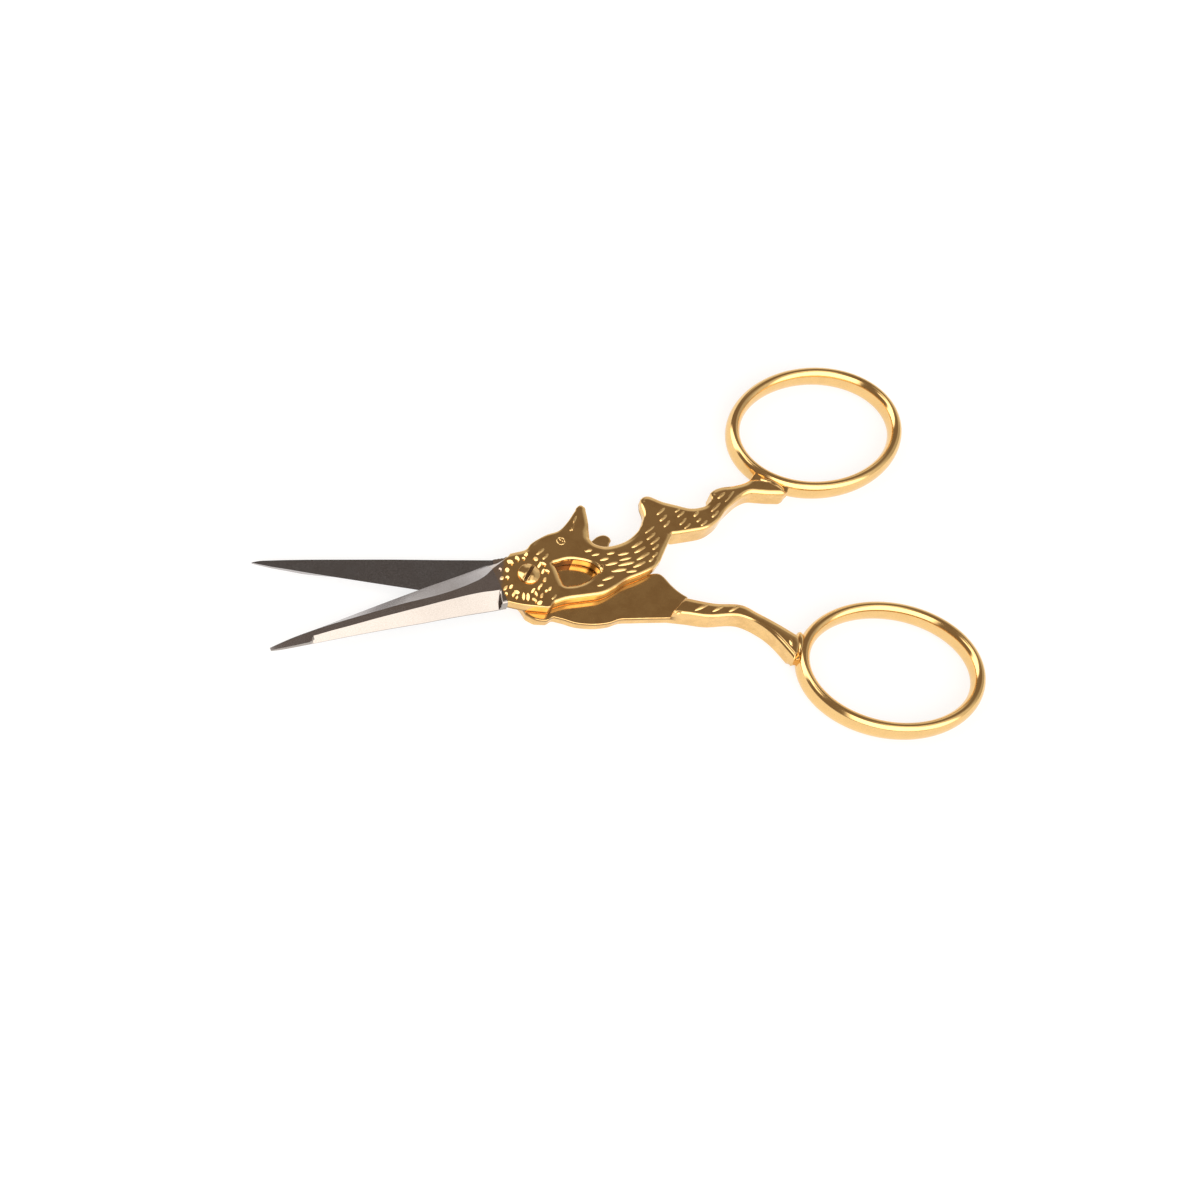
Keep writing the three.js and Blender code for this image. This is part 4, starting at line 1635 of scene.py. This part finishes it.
FEATHERS = np.array([
    (1.25, -4.05, 2.1, -3.65, 0.3), (1.95, 2.2, 3.25, 2.68, 0.34), (2.45, 1.38, 3.45, 1.88, 0.34),
    (7.9, 0.93, 8.95, 0.85, 0.34), (8.5, 0.17, 9.6, 0.08, 0.28), (10.42, -0.2, 11.5, -0.28, 0.3),
    (9.2, -0.75, 10.45, -0.8, 0.33), (11.7, -0.72, 13.2, -0.83, 0.3), (9.62, -1.58, 11.3, -1.67, 0.33),
    (11.55, -1.45, 13.2, -1.53, 0.28), (8.85, -2.15, 9.25, -1.35, 0.4), (11.1, -2.08, 13.3, -2.22, 0.36),
    (9.95, -2.6, 11.95, -2.85, 0.38), (12.8, -2.85, 14.65, -2.57, 0.36), (11.7, -3.2, 13.1, -3.42, 0.32),
    (8.35, -3.42, 10.0, -3.33, 0.34), (7.4, -3.92, 8.3, -4.02, 0.28), (13.8, -0.25, 15.55, 0.17, 0.36),
    (13.8, -1.02, 15.55, -0.65, 0.36), (13.65, -2.02, 15.7, -1.55, 0.38), (15.05, -2.68, 15.85, -2.4, 0.3),
    (16.1, 0.22, 17.6, 0.83, 0.36), (16.3, -0.5, 17.85, 0.08, 0.34), (16.2, -1.27, 17.3, -0.83, 0.34),
    (15.75, -2.25, 16.7, -1.8, 0.32), (16.3, 1.15, 17.85, 1.7, 0.26), (18.86, 3.15, 20.3, 3.75, 0.34),
    (18.83, 2.2, 20.1, 2.75, 0.38), (18.98, 1.28, 20.12, 1.9, 0.36), (21.25, 2.85, 22.1, 3.08, 0.22),
    (21.25, 2.12, 22.5, 2.6, 0.3), (21.05, 0.98, 22.3, 1.66, 0.34), (21.4, 0.34, 22.5, 0.8, 0.28),
    (23.3, 1.6, 24.25, 2.08, 0.38), (23.32, 0.78, 24.1, 1.08, 0.3), (23.6, 0.12, 24.75, 0.58, 0.32),
    (25.5, 0.84, 26.75, 1.44, 0.36), (25.75, 1.62, 27.5, 2.45, 0.34), (27.4, 3.12, 28.75, 3.65, 0.36),
    (28.1, 2.4, 29.95, 3.52, 0.3),
])
EAR = np.array([
    (7.35, 4.1, 7.85, 4.45, 0.22), (7.6, 4.05, 8.25, 5.0, 0.24), (8.25, 5.05, 9.05, 5.85, 0.26),
])
EYE = np.array([(5.6, 3.4, 5.72, 3.2, 0.24), (5.8, 2.98, 5.95, 3.12, 0.24)])
SHANK_STROKES = np.array([
    (20.25, -3.6, 22.05, -2.62, 0.42), (22.45, -3.6, 23.98, -2.68, 0.4), (24.52, -3.46, 25.98, -2.54, 0.4),
    (17.9, -4.23, 18.6, -3.84, 0.34), (31.93, -6.68, 32.08, -7.75, 0.42),
])


def ring_strokes(x: float, y: float, radius: float, width: float, count: int) -> Points:
    """Short strokes end to end round a circle, which makes the rim of the eye.

    Args:
        x: centre along X.
        y: centre along Y.
        radius: of the circle.
        width: of the strokes.
        count: how many strokes.
    Returns:
        (count, 5) array of strokes.
    """
    overlap = 0.3
    turn = np.linspace(0, 2 * math.pi, count + 1)
    rim = np.stack((x + radius * np.cos(turn), y + radius * np.sin(turn)), axis=1)
    reach = overlap * (rim[1:] - rim[:-1])
    return np.concatenate((rim[:-1] - reach, rim[1:] + reach, np.full((count, 1), width)), axis=1)


def main() -> None:
    """Build the studio, then both halves and the screw, and report each piece."""
    logging.basicConfig(level=logging.INFO, format="%(name)s: %(message)s")
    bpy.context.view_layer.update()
    bpy.context.scene.view_settings.view_transform = "Standard"
    Camera().build()
    Studio().build()
    finishes = Finishes()
    eye = np.concatenate((ring_strokes(x=5.68, y=3.12, radius=0.5, width=0.16, count=10), EYE))
    none = np.zeros((0, 5))
    front = Handle(Half.FRONT, shoulder=np.array([(19.95, -0.4), (18.75, 6.0)]),
                   strokes=np.concatenate((FEATHERS * WIDER, EAR * WIDER, eye)), petals=ROSETTE * WIDEST,
                   window_rim=WINDOW_RIM, end_cut=FRONT_END, root_cut=np.array([(-4.45, -9.0), (-2.5, -9.0)]))
    back = Handle(Half.BACK, shoulder=np.array([(17.35, 4.1), (19.25, 1.85)]),
                  strokes=SHANK_STROKES * TURNED_OVER, petals=none, window_rim=none, end_cut=BACK_END,
                  root_cut=np.array([(-4.45, -2.5), (-2.5, -3.0)]))
    blades = Blade(Half.FRONT, FRONT_CUT, FRONT_SPINE), Blade(Half.BACK, BACK_CUT, BACK_SPINE)
    bows = Bow(Half.FRONT), Bow(Half.BACK, root=(33.4, 7.0, 98.0), root_size=(2.1, 0.7, 1.42))
    for part in (blades[0], front, bows[0], blades[1], back, bows[1], PivotScrew()):
        part.build(finishes)


if __name__ == "__main__":
    main()
